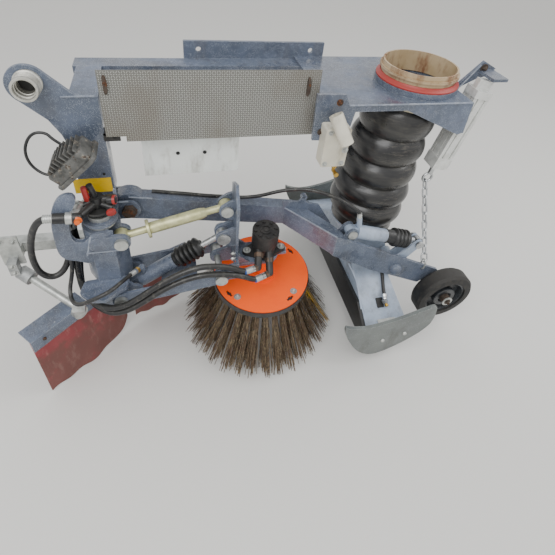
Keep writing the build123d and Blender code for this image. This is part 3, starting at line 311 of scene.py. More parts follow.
# Skirt panel: bright sheet hung before the rail, pressed with small raised lozenges that
# lean left and right in turn.
def lozenge_sheet(pitch=0.0064):
    f = Finish("lozenge_sheet")
    across, height = f.along("X") * (1 / pitch), f.along("Z") * (1 / pitch)
    row = across.math("FLOOR", across) + height.math("FLOOR", height)
    lean = row.math("FLOORED_MODULO", row, 2) * 2 - 1
    side = across.math("FRACT", across) - 0.5
    rise = (height.math("FRACT", height) - 0.5) * lean
    thin, long = side + rise, side - rise
    across_bar, along_bar = thin.math("ABSOLUTE", thin), long.math("ABSOLUTE", long)
    bar = (1 - across_bar.above(0.1, 0.24)) * (1 - along_bar.above(0.42, 0.6))
    grime = f.noise(7, 6, 0.6, (1, 1, 0.5)).above(0.42, 0.68)
    base = f.coats("74746F", (bar * 0.75, "D4D5D0"), (grime * 0.35, "6E6252"))
    return f.done({"Base Color": base, "Roughness": 0.45 + grime * 0.2, "Metallic": 0.25,
                   "Normal": f.bump(bar, 0.8, 0.0012)})


dress(lozenge_sheet(), "skirt_panel")


# Bolts of the frame, clamp, valve box and skid: hexagon heads on washers and round heads,
# each shape set on its places by a node tree.
def close_mesh(bm, name):
    """Turns a bmesh into a mesh with its faces outward."""
    bmesh.ops.recalc_face_normals(bm, faces=bm.faces)
    mesh = bpy.data.meshes.new(name)
    bm.to_mesh(mesh)
    bm.free()
    return mesh


def add_piece(name, shape, material, body, replaced=(), angle=40):
    """Adds a finished mesh or bmesh as a piece that rides on a body."""
    mesh = close_mesh(shape, name) if isinstance(shape, bmesh.types.BMesh) else shape
    if material:
        mesh.materials.append(material)
    mesh.shade_smooth()
    mesh.set_sharp_from_angle(angle=math.radians(angle))
    piece = put(name, mesh)
    if body:
        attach(piece, body)
    if replaced:
        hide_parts(*replaced)
    return piece


def facing(at, along):
    """Frame at a road point with its Z axis along a direction."""
    place = Vector(along).to_track_quat("Z", "Y").to_matrix().to_4x4()
    place.translation = road(*at)
    return place


def join_rings(bm, low, high):
    """Faces between two rings of corners."""
    for k in range(len(low)):
        m = (k + 1) % len(low)
        bm.faces.new((low[k], low[m], high[m], high[k]))


def turned(place, profile, sides=32, closed=False, bm=None):
    """Turns a profile about Z in a frame; its rows are height and radius."""
    bm = bm or bmesh.new()
    rings = []
    for z, r in profile:
        rings.append([bm.verts.new(place @ (Vector((r * math.cos(a), r * math.sin(a), z)) / 1000))
                      for a in (k * math.tau / sides for k in range(sides))])
    pairs = list(zip(rings, rings[1:])) + ([(rings[-1], rings[0])] if closed else [])
    for low, high in pairs:
        join_rings(bm, low, high)
    if not closed:
        bm.faces.new(rings[0][::-1])
        bm.faces.new(rings[-1])
    return bm


class Graph:
    """A geometry node tree under construction."""

    def __init__(self, name, sizes):
        self.tree = bpy.data.node_groups.new(name, "GeometryNodeTree")
        self.tree.interface.new_socket("Places", in_out="INPUT", socket_type="NodeSocketGeometry")
        self.keys = {}
        for label, kind in sizes:
            socket = self.tree.interface.new_socket(label, in_out="INPUT", socket_type="NodeSocket" + kind)
            self.keys[label] = socket.identifier
        self.tree.interface.new_socket("Result", in_out="OUTPUT", socket_type="NodeSocketGeometry")
        self.given = self.tree.nodes.new("NodeGroupInput").outputs

    def node(self, kind, settings={}, values={}, out=0):
        return add_node(self.tree, kind, settings, values, out)

    def finish(self, instances, material):
        plain = self.node("GeometryNodeRealizeInstances", {}, {0: instances})
        dressed = self.node("GeometryNodeSetMaterial", {}, {"Geometry": plain, "Material": material})
        end = self.tree.nodes.new("NodeGroupOutput")
        self.tree.links.new(dressed, end.inputs[0])

    def run(self, places, values):
        """Runs the tree on a mesh of places and returns the plain mesh that it makes."""
        holder = put("places", places)
        modifier = holder.modifiers.new("tree", "NODES")
        modifier.node_group = self.tree
        for label, value in values.items():
            modifier[self.keys[label]] = value
        bpy.context.view_layer.update()
        seen = holder.evaluated_get(bpy.context.evaluated_depsgraph_get())
        mesh = bpy.data.meshes.new_from_object(seen)
        holder.modifiers.remove(modifier)
        bpy.data.objects.remove(holder)
        return mesh


def scatter(name, shape, material, body, rows):
    """Sets a shape on many places of one body; rows are place, facing and size."""
    graph = Graph(name, (("Shape", "Object"), ("Size", "Float")))
    attribute = "GeometryNodeInputNamedAttribute"
    turn = graph.node("FunctionNodeAlignRotationToVector", {"axis": "Z"}, {
        "Vector": graph.node(attribute, {"data_type": "FLOAT_VECTOR"}, {0: "facing"})})
    size = graph.node("ShaderNodeMath", {"operation": "MULTIPLY"}, {
        0: graph.given["Size"],
        1: graph.node(attribute, {"data_type": "FLOAT"}, {0: "size"})})
    shaped = graph.node("GeometryNodeObjectInfo", {}, {"Object": graph.given["Shape"]}, "Geometry")
    points = graph.node("GeometryNodeMeshToPoints", {}, {0: graph.given["Places"]})
    graph.finish(graph.node("GeometryNodeInstanceOnPoints", {}, {
        "Points": points, "Instance": shaped, "Rotation": turn, "Scale": size}), material)
    places = bpy.data.meshes.new(name)
    places.from_pydata([tuple(road(*at)) for at, along, r in rows], [], [])
    places.attributes.new("facing", "FLOAT_VECTOR", "POINT").data.foreach_set(
        "vector", [c for at, along, r in rows for c in along])
    places.attributes.new("size", "FLOAT", "POINT").data.foreach_set(
        "value", [r / 1000 for at, along, r in rows])
    return add_piece(name, graph.run(places, {"Shape": shape, "Size": 1.0}), None, body)


# shapes to repeat are drawn for a size of 1 and scaled where they are set
metre = Matrix.Scale(1000, 4)
bolt = turned(metre, [(0, 1.75), (0.22, 1.75), (0.22, 1.62)], 20)
turned(metre, [(0.2, 0.98), (0.9, 1), (1.1, 0.82)], 6, bm=bolt)
turned(metre, [(1.05, 0.5), (1.5, 0.5), (1.56, 0.42)], 10, bm=bolt)
hex_bolt = put("hex_bolt", close_mesh(bolt, "hex_bolt"))
dome = turned(metre, [(0, 1), (0.35, 1), (0.7, 0.8), (0.85, 0.4)], 16)
round_head = put("round_head", close_mesh(dome, "round_head"))

outward, inboard, skyward, rearward = (0, -1, 0), (0, 1, 0), (0, 0, 1), (1, 0, 0)
rail_out, rear_rail_out = (0.68, -0.73, 0), (0.43, -0.9, 0)
scatter("valve_bolts", hex_bolt, zinc, "carrier", [
    ((471, 1000, 946), outward, 5), ((523, 1000, 921), outward, 5), ((526, 1000, 885), outward, 6),
    ((468, 1000, 838), outward, 5), ((522, 1000, 838), outward, 5)])
scatter("carrier_bolts", hex_bolt, rust_metal, "carrier", [
    ((-430, 893, 300), rail_out, 6), ((-345, 972, 300), rail_out, 6),
    ((500, 1046, 1020), outward, 6), ((455, 1046, 925), outward, 6), ((498, 1046, 905), outward, 6),
    ((1046, 1154, 1080), outward, 8), ((8, 1234, 306), outward, 5), ((-120, 1160, 306), rear_rail_out, 5)])
scatter("clamp_bolts", hex_bolt, zinc, "carrier", [
    ((-533, 1098, 540), outward, 6), ((-496, 1098, 540), outward, 6), ((-514, 1070, 458), outward, 6),
    ((-514, 1070, 428), outward, 6), ((-212, 1035, 700), skyward, 0.5)])
scatter("skid_bolts", round_head, zinc, "nozzle", [
    ((748, 764, 157), outward, 8.5), ((836, 764, 181), outward, 8.5)])
scatter("arm_washer", round_head, slate, "trailing_arm", [
    ((846, 958, 337), outward, 25), ((682, 962, 454), outward, 3)])


# Gauge wheel hub: black casting with a raised ring, held by a zinc washer and a rusty bolt
# on the end of the axle.
hub_x, hub_z = 1082, 198
add_piece("hub_ring", turned(facing((hub_x, 900, hub_z), outward), [
    (0, 49), (14, 49), (17, 46), (17, 30), (12, 26), (0, 26)], 48, closed=True), hub_black, "wheel")
add_piece("hub_washer", turned(facing((hub_x, 865, hub_z), outward), [(0, 22.5), (4, 22.5), (5, 21.5)]),
          zinc, "trailing_arm")
scatter("hub_bolt", hex_bolt, rust_metal, "trailing_arm", [((hub_x, 860.5, hub_z), outward, 8)])


# Bolts of the brush: two in the motor's flange and four in the disc, square to its tilt, and
# five through the plate of the brush head. All have zinc hexagon heads.
lean_out, lean_forward = math.radians(4.8), math.radians(-1.3)
brush_tilt = Matrix.Rotation(lean_out, 4, "X") @ Matrix.Rotation(lean_forward, 4, "Y")
brush_centre = Vector((313, 1037, 329))
spin_axis = (brush_tilt @ Vector(skyward)).to_3d()


def on_brush(x, y, z):
    """Road point from a point in the tilted frame of disc and motor."""
    return brush_centre + brush_tilt @ Vector((x, y, z))


scatter("flange_bolts", hex_bolt, zinc, "brush_head", [
    (on_brush(side * 63, 0, 137.4), spin_axis, 8) for side in (-1, 1)]
    + [((207.5, y, z), rearward, 7) for y, z in ((1070, 470), (1070, 445), (1000, 470))]
    + [((197, 1010, z), (-1, 0, 0), 7) for z in (470, 445)])
scatter("disc_bolts", hex_bolt, zinc, "brush", [
    (on_brush(148 * math.cos(a), 148 * math.sin(a), 0), spin_axis, 7.5)
    for a in (math.radians(42 + 90 * k) for k in range(4))])


# Welds along the seams of frame, post, head, arm and nozzle: overlapping ripples in the
# same paint, worn and lighter; the lighter tone is a painted highlight on the beads.
bead = turned(metre, [(-0.6, 0.4), (-0.2, 0.95), (0.3, 0.9), (0.6, 0.35)], 8)
ripple = put("weld_ripple", close_mesh(bead, "weld_ripple"))
ripple_pitch, ripple_size = 3.5, 3.2
seams = {
    "king_post": [((-262, 978, 575), (-165, 978, 575)), ((-212, 977, 430), (-165, 977, 430)),
                  ((-258, 977, 430), (-212, 977, 430)), ((-262, 981, 562), (-240, 981, 640))],
    "carrier": [((-165, 1100, 667), (-133, 1100, 667)), ((-250, 1098, 673), (-174, 1098, 673)),
                ((532, 1046, 1009), (960, 1046, 1009)), ((-255, 1099, 1026), (-172, 1099, 1026)),
                ((970, 1154, 1002), (1030, 1154, 1090))],
    "brush_head": [((208, 1062, 590), (208, 1062, 640)), ((208, 1006, 540), (208, 1006, 590)),
                   ((208, 990, 455), (208, 1080, 455))],
    "trailing_arm": [((400, 1122, 568), (556, 962, 545)), ((-133, 1122, 668), (-60, 1122, 655))],
    "nozzle": [((690, 807, 196), (860, 807, 196))],
}
# lighter than the slate paint: a painted highlight on the weld beads
weld_paint_and_highlight = wet_paint("weld_paint_and_highlight", "7A8496", "98A2B2", "6E6860", "D2D6DA", wear=1.0, grime=0.2, wet=0.4)
for body, lines in seams.items():
    rows = []
    for start, end in lines:
        start, end = Vector(start), Vector(end)
        count = int((end - start).length / ripple_pitch)
        rows += [(start.lerp(end, (k + 0.5) / count), end - start, ripple_size) for k in range(count)]
    scatter(body + "_welds", ripple, weld_paint_and_highlight, body, rows)


# Bristles: flat steel wires held by the base in two rings of bunches and splayed outwards,
# with a few yellow ones among them. A node tree sets the wires with a fixed seed.
def wire_steel(name, dark, light, rust):
    f = Finish(name)
    streak_and_sheen = f.noise(260, 2, 0.5, (1, 1, 0.04))
    rusty = f.noise(30, 5, 0.7).above(0.45, 0.62) * 0.7
    # the light colour along the streaks is a painted highlight on the wires
    base = f.coats(dark, (streak_and_sheen.above(0.35, 0.62), light), (rusty, rust))
    return f.done({"Base Color": base, "Roughness": 0.5, "Metallic": 0.35,
                   "Normal": f.bump(streak_and_sheen, 0.3, 0.0003)})


def bent_wire(name, half_width=0.0052, half_thick=0.002, splay=0.44, parts=5):
    """Flat wire of length 1 that hangs from the origin and bends outwards along X."""
    bm = bmesh.new()
    corners = ((0, -half_width), (half_thick, 0), (0, half_width), (-half_thick, 0))
    sections = [[bm.verts.new((splay * (k / parts) ** 1.2 + dx, dy, -k / parts)) for dx, dy in corners]
                for k in range(parts + 1)]
    for low, high in zip(sections, sections[1:]):
        join_rings(bm, low, high)
    bm.faces.new(sections[0])
    bm.faces.new(sections[-1][::-1])
    return put(name, close_mesh(bm, name))


def bristle_ring(name, material, count, per_bunch, root_r, length, lean, seed, first=0.0, replaced=()):
    """One ring of wires under the brush; radius and length in metres, angles in radians."""
    wire = bent_wire(name + "_wire")
    graph = Graph(name, (("Wire", "Object"), ("Wires", "Int"), ("Wires in a bunch", "Int"),
                         ("Root radius", "Float"), ("Length", "Float"), ("Lean", "Float")))
    sizes = graph.given

    def maths(operation, *values):
        return graph.node("ShaderNodeMath", {"operation": operation}, dict(enumerate(values)))

    def scattered(low, high, shift):
        return graph.node("FunctionNodeRandomValue", {"data_type": "FLOAT"},
                          {2: low, 3: high, "Seed": seed + shift}, 1)

    index = graph.node("GeometryNodeInputIndex")
    bunches = maths("DIVIDE", sizes["Wires"], sizes["Wires in a bunch"])
    bunch = maths("FLOOR", maths("DIVIDE", index, sizes["Wires in a bunch"]))
    turned_by = maths("DIVIDE", maths("MULTIPLY", bunch, math.tau), bunches)
    angle = maths("ADD", turned_by, scattered(-0.05, 0.05, 0))
    angle = maths("ADD", angle, first)
    radius = maths("ADD", sizes["Root radius"], scattered(-0.007, 0.007, 1))
    place = graph.node("ShaderNodeCombineXYZ", {}, {
        0: maths("MULTIPLY", radius, maths("COSINE", angle)),
        1: maths("MULTIPLY", radius, maths("SINE", angle))})
    points = graph.node("GeometryNodePoints", {}, {"Count": sizes["Wires"], "Position": place})
    turn = graph.node("ShaderNodeCombineXYZ", {}, {
        0: scattered(-0.045, 0.045, 2), 1: maths("MULTIPLY", sizes["Lean"], scattered(-0.15, 0.08, 3)),
        2: maths("ADD", angle, scattered(-0.07, 0.07, 4))})
    long = maths("MULTIPLY", sizes["Length"], scattered(0.88, 1.0, 5))
    shaped = graph.node("GeometryNodeObjectInfo", {}, {"Object": sizes["Wire"]}, "Geometry")
    graph.finish(graph.node("GeometryNodeInstanceOnPoints", {}, {
        "Points": points, "Instance": shaped, "Rotation": turn, "Scale": long}), material)
    mesh = graph.run(bpy.data.meshes.new(name), {
        "Wire": wire, "Wires": count, "Wires in a bunch": per_bunch, "Root radius": root_r,
        "Length": length, "Lean": lean})
    bpy.data.objects.remove(wire)
    under_base = Matrix.Translation((0, 0, -0.030))
    mesh.transform(Matrix.Translation(road(*brush_centre)) @ brush_tilt @ under_base)
    add_piece(name, mesh, None, "brush", replaced)


# the second colour of each wire finish is its painted highlight
brown_wire = wire_steel("brown_wire", "2A221B", "7A6950", "4A3223")
yellow_wire = wire_steel("yellow_wire", "B98F1C", "E8BE35", "8A6420")
bristle_ring("outer_bristles", brown_wire, 1020, 30, 0.166, 0.254, 1.0, 3, replaced=("brush_bristles",))
bristle_ring("inner_bristles", brown_wire, 700, 28, 0.138, 0.250, 0.8, 21, first=0.1)
bristle_ring("yellow_bristles", yellow_wire, 18, 9, 0.172, 0.254, 1.0, 40, first=-0.42)


# Suction hose: thick wet rubber in five round bulges between the nozzle's spigot and the
# hose frame, in two pieces parted at its first groove.
def streaked_rubber():
    f = Finish("hose_rubber")
    streak_and_sheen = f.noise(9, 4, 0.55, (1, 1, 5)).above(0.42, 0.7)
    fine = f.noise(30, 3, 0.6, (1, 1, 6)).above(0.48, 0.7)
    patch = f.noise(7, 4).above(0.4, 0.65)
    # the lighter streaks, broad and fine, are partly dust and partly a painted highlight on the wet rubber
    base = f.coats("1B1B1C", (streak_and_sheen * 0.4, "4A4843"), (fine * patch * 0.35, "6E685D"))
    grain = fine * 0.4 + streak_and_sheen + f.noise(220, 2) * 0.3
    return f.done({"Base Color": base, "Roughness": 0.32 + fine * 0.2 - patch * 0.06,
                   "Coat Weight": 0.3, "Coat Roughness": 0.22, "Normal": f.bump(grain, 0.22, 0.0008)})


def cut_part(mesh, name, at, along, upper, hollow=True):
    """The part of a closed mesh on one side of a plane, with its cut closed."""
    bm = bmesh.new()
    bm.from_mesh(mesh)
    bmesh.ops.bisect_plane(bm, geom=bm.verts[:] + bm.edges[:] + bm.faces[:], plane_co=at, plane_no=along,
                           clear_inner=upper, clear_outer=not upper)
    open_edges = [e for e in bm.edges if e.is_boundary]
    if hollow:
        bmesh.ops.bridge_loops(bm, edges=open_edges)
    else:
        bmesh.ops.contextual_create(bm, geom=open_edges)
    return close_mesh(bm, name)


def bend_piece(name, shape, material, start, end, replaced=()):
    """Adds a soft piece that rides on no body, with its place baked into its mesh."""
    piece = add_piece(name, shape, material, None, replaced)
    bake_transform(piece)


hose_foot, hose_head = Vector((774, 1200, 430.5)), Vector((820, 1200, 999))
hose_place = facing(hose_foot, hose_head - hose_foot)
hose_length = (hose_head - hose_foot).length
cuff, cuff_r, neck_r, bore_r, wall = 38, 129, 113, 106, 7
# height, radius at the middle and radius of the groove above it, from the nozzle up
bulges = ((90, 149, 128), (92, 152, 127), (96, 148, 124), (98, 138, 118), (112, 132, 113))
profile, z, groove = [(0, cuff_r), (cuff, cuff_r)], cuff + 2, cuff_r
for height, peak, next_groove in bulges:
    for k in range(1, 13):
        t = k / 12
        swell = (peak - (groove + next_groove) / 2) * math.sin(math.pi * t) ** 0.7
        profile.append((z + height * t, groove + (next_groove - groove) * t + swell))
    z, groove = z + height, next_groove
profile += [(hose_length, neck_r), (hose_length, bore_r)]
profile += [(h, r - wall) for h, r in profile[-3::-1]]
bm = turned(hose_place, profile, 72, closed=True)
sag, unwrap = 0.016, hose_place.inverted()
for v in bm.verts:
    p = unwrap @ v.co
    a, share = math.atan2(p.y, p.x), math.sin(math.pi * min(max(p.z * 1000 / hose_length, 0), 1))
    swell = 1 + share * 0.012 * math.sin(3 * a + 21 * p.z) + share * 0.008 * math.sin(5 * a - 13 * p.z)
    v.co = hose_place @ Vector((p.x * swell, p.y * swell, p.z + share * 0.004 * math.sin(2 * a)))
    v.co.x -= sag * share ** 0.8
whole = close_mesh(bm, "suction_hose_whole")


def up_hose(height):
    """Point on the hose's axis, from a height above its foot."""
    return hose_place @ Vector((0, 0, height / 1000))


hose_rubber = streaked_rubber()
first_groove, axis = up_hose(cuff + 2 + bulges[0][0]), hose_place.to_3x3() @ Vector(skyward)
bend_piece("suction_hose", cut_part(whole, "suction_hose", first_groove, axis, True), hose_rubber,
           up_hose(hose_length - 50), first_groove, ("suction_hose",))
bend_piece("suction_hose_foot", cut_part(whole, "suction_hose_foot", first_groove, axis, False), hose_rubber,
           first_groove, up_hose(45))


# Hose band: cream steel clamp round the hose's upper end, drawn tight at the block on its
# side.
def slab(place, outline, z0, z1, bm=None):
    """Plate of a given outline between two heights in a frame."""
    bm = bm or bmesh.new()
    low, high = ([bm.verts.new(place @ (Vector((x, y, z)) / 1000)) for x, y in outline] for z in (z0, z1))
    bm.faces.new(low[::-1])
    bm.faces.new(high)
    join_rings(bm, low, high)
    return bm


def rounded(width, depth, r, steps=5):
    """Outline of a rectangle with round corners."""
    points = []
    for sx, sy, start in ((1, 1, 0), (-1, 1, 90), (-1, -1, 180), (1, -1, 270)):
        for k in range(steps + 1):
            a = math.radians(start + 90 * k / steps)
            points.append((sx * (width / 2 - r) + r * math.cos(a), sy * (depth / 2 - r) + r * math.sin(a)))
    return points


band_z, half_band = hose_length - 46, 6
bm = turned(hose_place, [
    (band_z - half_band, 114.5), (band_z - half_band, 116.5), (band_z, 117.2), (band_z + half_band, 116.5),
    (band_z + half_band, 114.5)], 64, closed=True)
to_side, lying = Matrix.Rotation(math.radians(-60), 4, "Z"), Matrix.Rotation(math.radians(90), 4, "X")
screw = hose_place @ to_side @ Matrix.Translation((0.121, 0, band_z / 1000)) @ lying
add_piece("hose_band", slab(screw, rounded(16, 14, 3), -14, 14, bm),
          plain_metal("band_steel", "CFC8B2", "AFA68C", "7A5A3E", 0.3, 0.4, 0.6), "carrier")


# Gaiters: black rubber sleeves that keep dirt off the rods of both cylinders, folded like
# bellows and held on the barrel's end.
def gaiter(name, base, rod_end, start, end, r_neck, r_fold, folds, plain):
    """Sleeve along a cylinder; lengths are from the base pin."""
    line = Vector(rod_end) - Vector(base)
    place, bore = facing(base, line), 12.5
    fold = ((0.0, 0.1), (0.22, 0.75), (0.42, 1.0), (0.58, 1.0), (0.78, 0.75), (1.0, 0.1))
    profile = [(start, bore), (start, r_neck), (start + 6, r_neck + 1.5), (start + 9, r_neck - 1)]
    pitch = (end - start - plain - 8) / folds
    for k in range(folds):
        z = start + plain + k * pitch
        for t, share in fold:
            profile.append((z + t * pitch, r_neck + (r_fold - r_neck) * share))
    profile += [(end - 4, r_neck - 4), (end, r_neck - 5), (end, bore)]
    near, far = (place @ Vector((0, 0, z / 1000)) for z in (start + 8, end - 8))
    bend_piece(name, turned(place, profile, 40, closed=True), rubber, near, far, (name,))


gaiter("brush_lift_gaiter", (-143, 1020, 375), (158, 1020, 563), 165.3, 272, 25, 37, 5, 12)
gaiter("tilt_gaiter", (625, 1006, 531), (931, 1006, 437), 158.3, 278, 27, 37, 4, 38)


# Curtains: worn red rubber sheets, muddy below, that keep the dust in. They hang in slow
# waves from the painted rails and their free corners are rounded.
def worn_red():
    f = Finish("worn_red_rubber")
    low = 1 - f.along("Z").above(-0.86, -0.66)
    mud = (f.noise(11, 6, 0.65) + low * 0.28).above(0.5, 0.72)
    scuff = f.noise(38, 5, 0.7, (1, 1, 0.3)).above(0.5, 0.7)
    base = f.coats("7E2429", (f.noise(5, 4).above(0.35, 0.65), "963A3D"), (scuff * 0.4, "B98A80"),
                   (mud * 0.6, "5E5046"))
    return f.done({"Base Color": base, "Roughness": 0.45 + mud * 0.3,
                   "Normal": f.bump(f.noise(26, 5) + scuff * 0.4, 0.5, 0.0012)})


def curtain(name, start, end, foot, tops, wave, corner, thick=5, columns=48, rows=22):
    """Rubber sheet between two plan points; tops are share along and top height."""
    a, b, corner_from = Vector((*start, 0)), Vector((*end, 0)), 0.82
    along, across = b - a, Vector((-(b - a).y, (b - a).x, 0)).normalized()
    bm = bmesh.new()
    near, far = sides = [], []
    for side, grid in enumerate(sides):
        for i in range(columns + 1):
            s = i / columns
            top = next(t for limit, t in tops if s <= limit + 1e-6)
            low = foot + 5 * math.sin(9.0 * s + 1) + 4 * math.sin(23 * s)
            low += corner * max(0, (s - corner_from) / 0.18) ** 2.4
            grid.append([])
            for j in range(rows + 1):
                d = j / rows
                swing = wave * d ** 1.6 * (math.sin(7.5 * s + 0.6) + 0.45 * math.sin(17 * s + 2 * d))
                at = a + along * s + across * (side * thick + swing)
                grid[i].append(bm.verts.new(road(at.x, at.y, top + (low - top) * d)))
    for grid in sides:
        for i in range(columns):
            for j in range(rows):
                bm.faces.new((grid[i][j], grid[i + 1][j], grid[i + 1][j + 1], grid[i][j + 1]))
    rim = [(i, 0) for i in range(columns)] + [(columns, j) for j in range(rows)] \
        + [(i, rows) for i in range(columns, 0, -1)] + [(0, j) for j in range(rows, 0, -1)]
    for (i, j), (m, n) in zip(rim, rim[1:] + rim[:1]):
        bm.faces.new((near[i][j], near[m][n], far[m][n], far[i][j]))
    add_piece(name, bm, red_rubber, "carrier", (name,))


red_rubber = worn_red()
curtain("front_curtain", (-462, 868), (-206, 1105), 8, ((0.58, 315), (1, 269)), wave=5, corner=70)
curtain("rear_curtain", (-178, 1128), (46, 1234), 34, ((1, 318),), wave=4, corner=30)


# Hydraulic and water hoses: black rubber over steel braid, each on the route of its CAD
# solid from fitting to fitting. The motor's pair is parted at the middle of the lower arm.
def small_hose_rubber():
    f = Finish("small_hose_rubber")
    wet = f.noise(30, 4, 0.6).above(0.45, 0.62)
    dust = f.noise(60, 5, 0.7).above(0.5, 0.72)
    base = f.coats("1C1D1F", (dust * 0.5 + f.facing_up() * 0.15, "6B6860"))
    return f.done({"Base Color": base, "Roughness": 0.42 - wet * 0.2 + dust * 0.25,
                   "Normal": f.bump(f.noise(380, 2) + dust * 0.5, 0.3, 0.0004)})


def tube_mesh(name, radius, route):
    """Closed tube along a smooth line through control points."""
    curve = bpy.data.curves.new(name, "CURVE")
    curve.dimensions, curve.bevel_depth, curve.bevel_resolution = "3D", radius / 1000, 5
    curve.resolution_u, curve.use_fill_caps = 7, True
    line = curve.splines.new("NURBS")
    line.points.add(len(route) - 1)
    for point, at in zip(line.points, route):
        point.co = (*road(*at), 1)
    line.order_u, line.use_endpoint_u = 3, True
    holder = put(name, curve)
    bpy.context.view_layer.update()
    rough = bpy.data.meshes.new_from_object(holder.evaluated_get(bpy.context.evaluated_depsgraph_get()))
    bpy.data.objects.remove(holder)
    bm = bmesh.new()
    bm.from_mesh(rough)
    bmesh.ops.remove_doubles(bm, verts=bm.verts, dist=1e-6)
    return close_mesh(bm, name)


hose_black = small_hose_rubber()
wide, narrow = 10, 6.5
motor_routes = {
    "upper": [(262, 938.5, 462.6), (246, 934, 463), (219, 926, 464), (170, 920, 502), (120, 916, 521),
              (70, 915, 527), (9, 915, 507), (-64, 910, 468), (-139, 905, 412), (-195, 908, 383),
              (-245, 930, 370), (-285, 962, 372), (-306, 992, 402), (-310, 1010, 460), (-305, 1016, 520),
              (-303, 1018, 580), (-305, 1020, 640), (-290, 1024, 690), (-262, 1030, 700), (-253, 1031, 703)],
    "lower": [(296, 929, 432), (283, 925, 430), (256, 917, 426), (210, 914, 460), (150, 912, 481),
              (85, 912, 491), (20, 912, 478), (-50, 909, 446), (-110, 905, 404), (-165, 904, 369),
              (-212, 914, 350), (-256, 946, 341), (-292, 984, 347), (-313, 1018, 378), (-312, 1040, 432),
              (-302, 1046, 492), (-295, 1044, 550), (-297, 1044, 620), (-286, 1048, 686),
              (-263, 1051.5, 699.5), (-251, 1049, 703)]}
middle = road(60, 914, 500)
for which, route in motor_routes.items():
    hose = tube_mesh("motor_hose_" + which, wide, route)
    post_end, brush_end = which + "_hose_post_end", which + "_hose_brush_end"
    stands_for = ("motor_hoses",) if which == "upper" else ()
    bend_piece(post_end, cut_part(hose, post_end, middle, rearward, False, False), hose_black,
               road(-210, 905, 380), middle, stands_for)
    bend_piece(brush_end, cut_part(hose, brush_end, middle, rearward, True, False), hose_black,
               middle, road(215, 925, 465))
bend_piece("lift_hose", tube_mesh("lift_hose", narrow, [
    (-122, 1002, 455.6), (-136, 984, 462), (-149, 967, 468), (-170, 930, 484), (-203, 888, 492),
    (-238, 877, 484), (-278, 886, 455), (-312, 910, 422), (-334, 944, 408), (-338, 976, 428),
    (-326, 998, 467), (-318, 1003, 510), (-313, 1003, 560), (-312, 1004, 620), (-308, 1004, 680),
    (-285, 1003, 725), (-260, 1014, 728), (-251, 1018, 729)]), hose_black,
    road(-278, 886, 455), road(-150, 966, 468), ("lift_hose",))
bend_piece("loop_hose", tube_mesh("loop_hose", wide, [
    (-300, 963, 734), (-318, 962, 736), (-345, 961, 738), (-372, 972, 706), (-396, 986, 652),
    (-414, 1000, 592), (-424, 1010, 530), (-420, 1016, 470), (-394, 1022, 438), (-362, 1032, 446),
    (-340, 1050, 480), (-328, 1074, 530), (-320, 1106, 580), (-302, 1136, 626), (-278, 1144, 638),
    (-252.3, 1144, 638)]), hose_black,
    road(-400, 990, 600), road(-400, 1120, 600), ("loop_hose",))
bend_piece("tilt_hose", tube_mesh("tilt_hose", narrow, [
    (-60, 1147, 667), (0, 1149, 654), (60, 1147, 644), (120, 1146, 631), (180, 1148, 621), (245, 1142, 614),
    (304, 1128, 626), (360, 1110, 655), (420, 1095, 673), (476, 1070, 682), (522, 1050, 676),
    (569, 1034, 660), (610, 1020, 636), (645, 1009, 614), (650, 1008, 588), (652, 1007.6, 576)]), hose_black,
    road(520, 1050, 676), road(645, 1009, 600), ("tilt_hose",))


# Hose ends: crimped zinc ferrules and hexagon nuts, brass on the two cylinders, with blue
# tape round the motor's pair.
def sleeves(name, material, body, rows, sides=24):
    """Turned pieces; rows are place, direction, and a profile of height and radius."""
    bm = bmesh.new()
    for at, along, profile in rows:
        turned(facing(at, along), profile, sides, bm=bm)
    return add_piece(name, bm, material, body)


def ferrule(r):
    """Profile of a crimped sleeve for a hose of a given radius."""
    points, groove_pitch = [(-13, r + 0.6), (-12, r + 2.2)], 5.4
    for z in (-10.5 + groove_pitch * k for k in range(4)):
        points += [(z, r + 2.4), (z + 1, r + 1.5), (z + 3.5, r + 1.5), (z + 4.5, r + 2.4)]
    return points + [(12, r + 2.2), (13, r - 1)]


nut = [(-6, 11), (-5, 12.5), (5, 12.5), (6, 11)]
tape = [(-3.4, 9), (-3.4, 10.9), (3.4, 10.9), (3.4, 9)]
sleeves("motor_hose_ends", zinc, "brush_head", [
    ((236, 931, 463.5), (-0.96, -0.28, 0.04), ferrule(wide)),
    ((272, 922, 428.4), (-0.95, -0.28, -0.12), ferrule(wide))])
sleeves("motor_hose_nuts", zinc, "brush_head", [
    ((253, 936, 462.8), (-0.96, -0.28, 0.03), nut), ((290, 927, 431), (-0.95, -0.28, -0.12), nut)], 6)
sleeves("blue_marks", soft_black("blue_tape", "2E55A0", "5A6E96", 0.4, 0.5), "brush_head", [
    ((222, 927, 464.8), (-0.96, -0.27, 0.2), tape), ((259, 918, 426.8), (-0.95, -0.28, -0.02), tape)])
sleeves("post_hose_ends", zinc, "king_post", [
    ((-303.5, 1020.4, 655), (0.05, 0.03, 1), ferrule(wide)),
    ((-296, 1044.3, 640), (0.05, 0.01, 1), ferrule(wide)),
    ((-305, 1004, 690), (0.2, 0, 1), ferrule(narrow)),
    ((-329, 961.5, 737), (-1, -0.03, 0.05), ferrule(wide))])
sleeves("loop_hose_end", zinc, "carrier", [((-266, 1144, 638), (-1, 0, 0), ferrule(wide))])
sleeves("tilt_hose_end", zinc, "tilt_barrel", [((648.5, 1008.4, 597), (-0.2, 0.04, 1), ferrule(narrow))])
sleeves("tilt_hose_nut", brass, "tilt_barrel", [
    ((651, 1008, 580), (-0.19, 0.03, 1), [(-5, 9), (-4, 10), (4, 10), (5, 9)])], 6)
lift_hose_way = (-0.59, -0.75, 0.27)
sleeves("lift_hose_end", zinc, "brush_lift_barrel", [((-140, 979, 463.5), lift_hose_way, ferrule(narrow))])
sleeves("lift_elbow_nut", brass, "brush_lift_barrel", [
    ((-128, 994, 458.5), lift_hose_way, [(-6, 9), (-5, 10.5), (4, 10.5), (5, 9)])], 6)


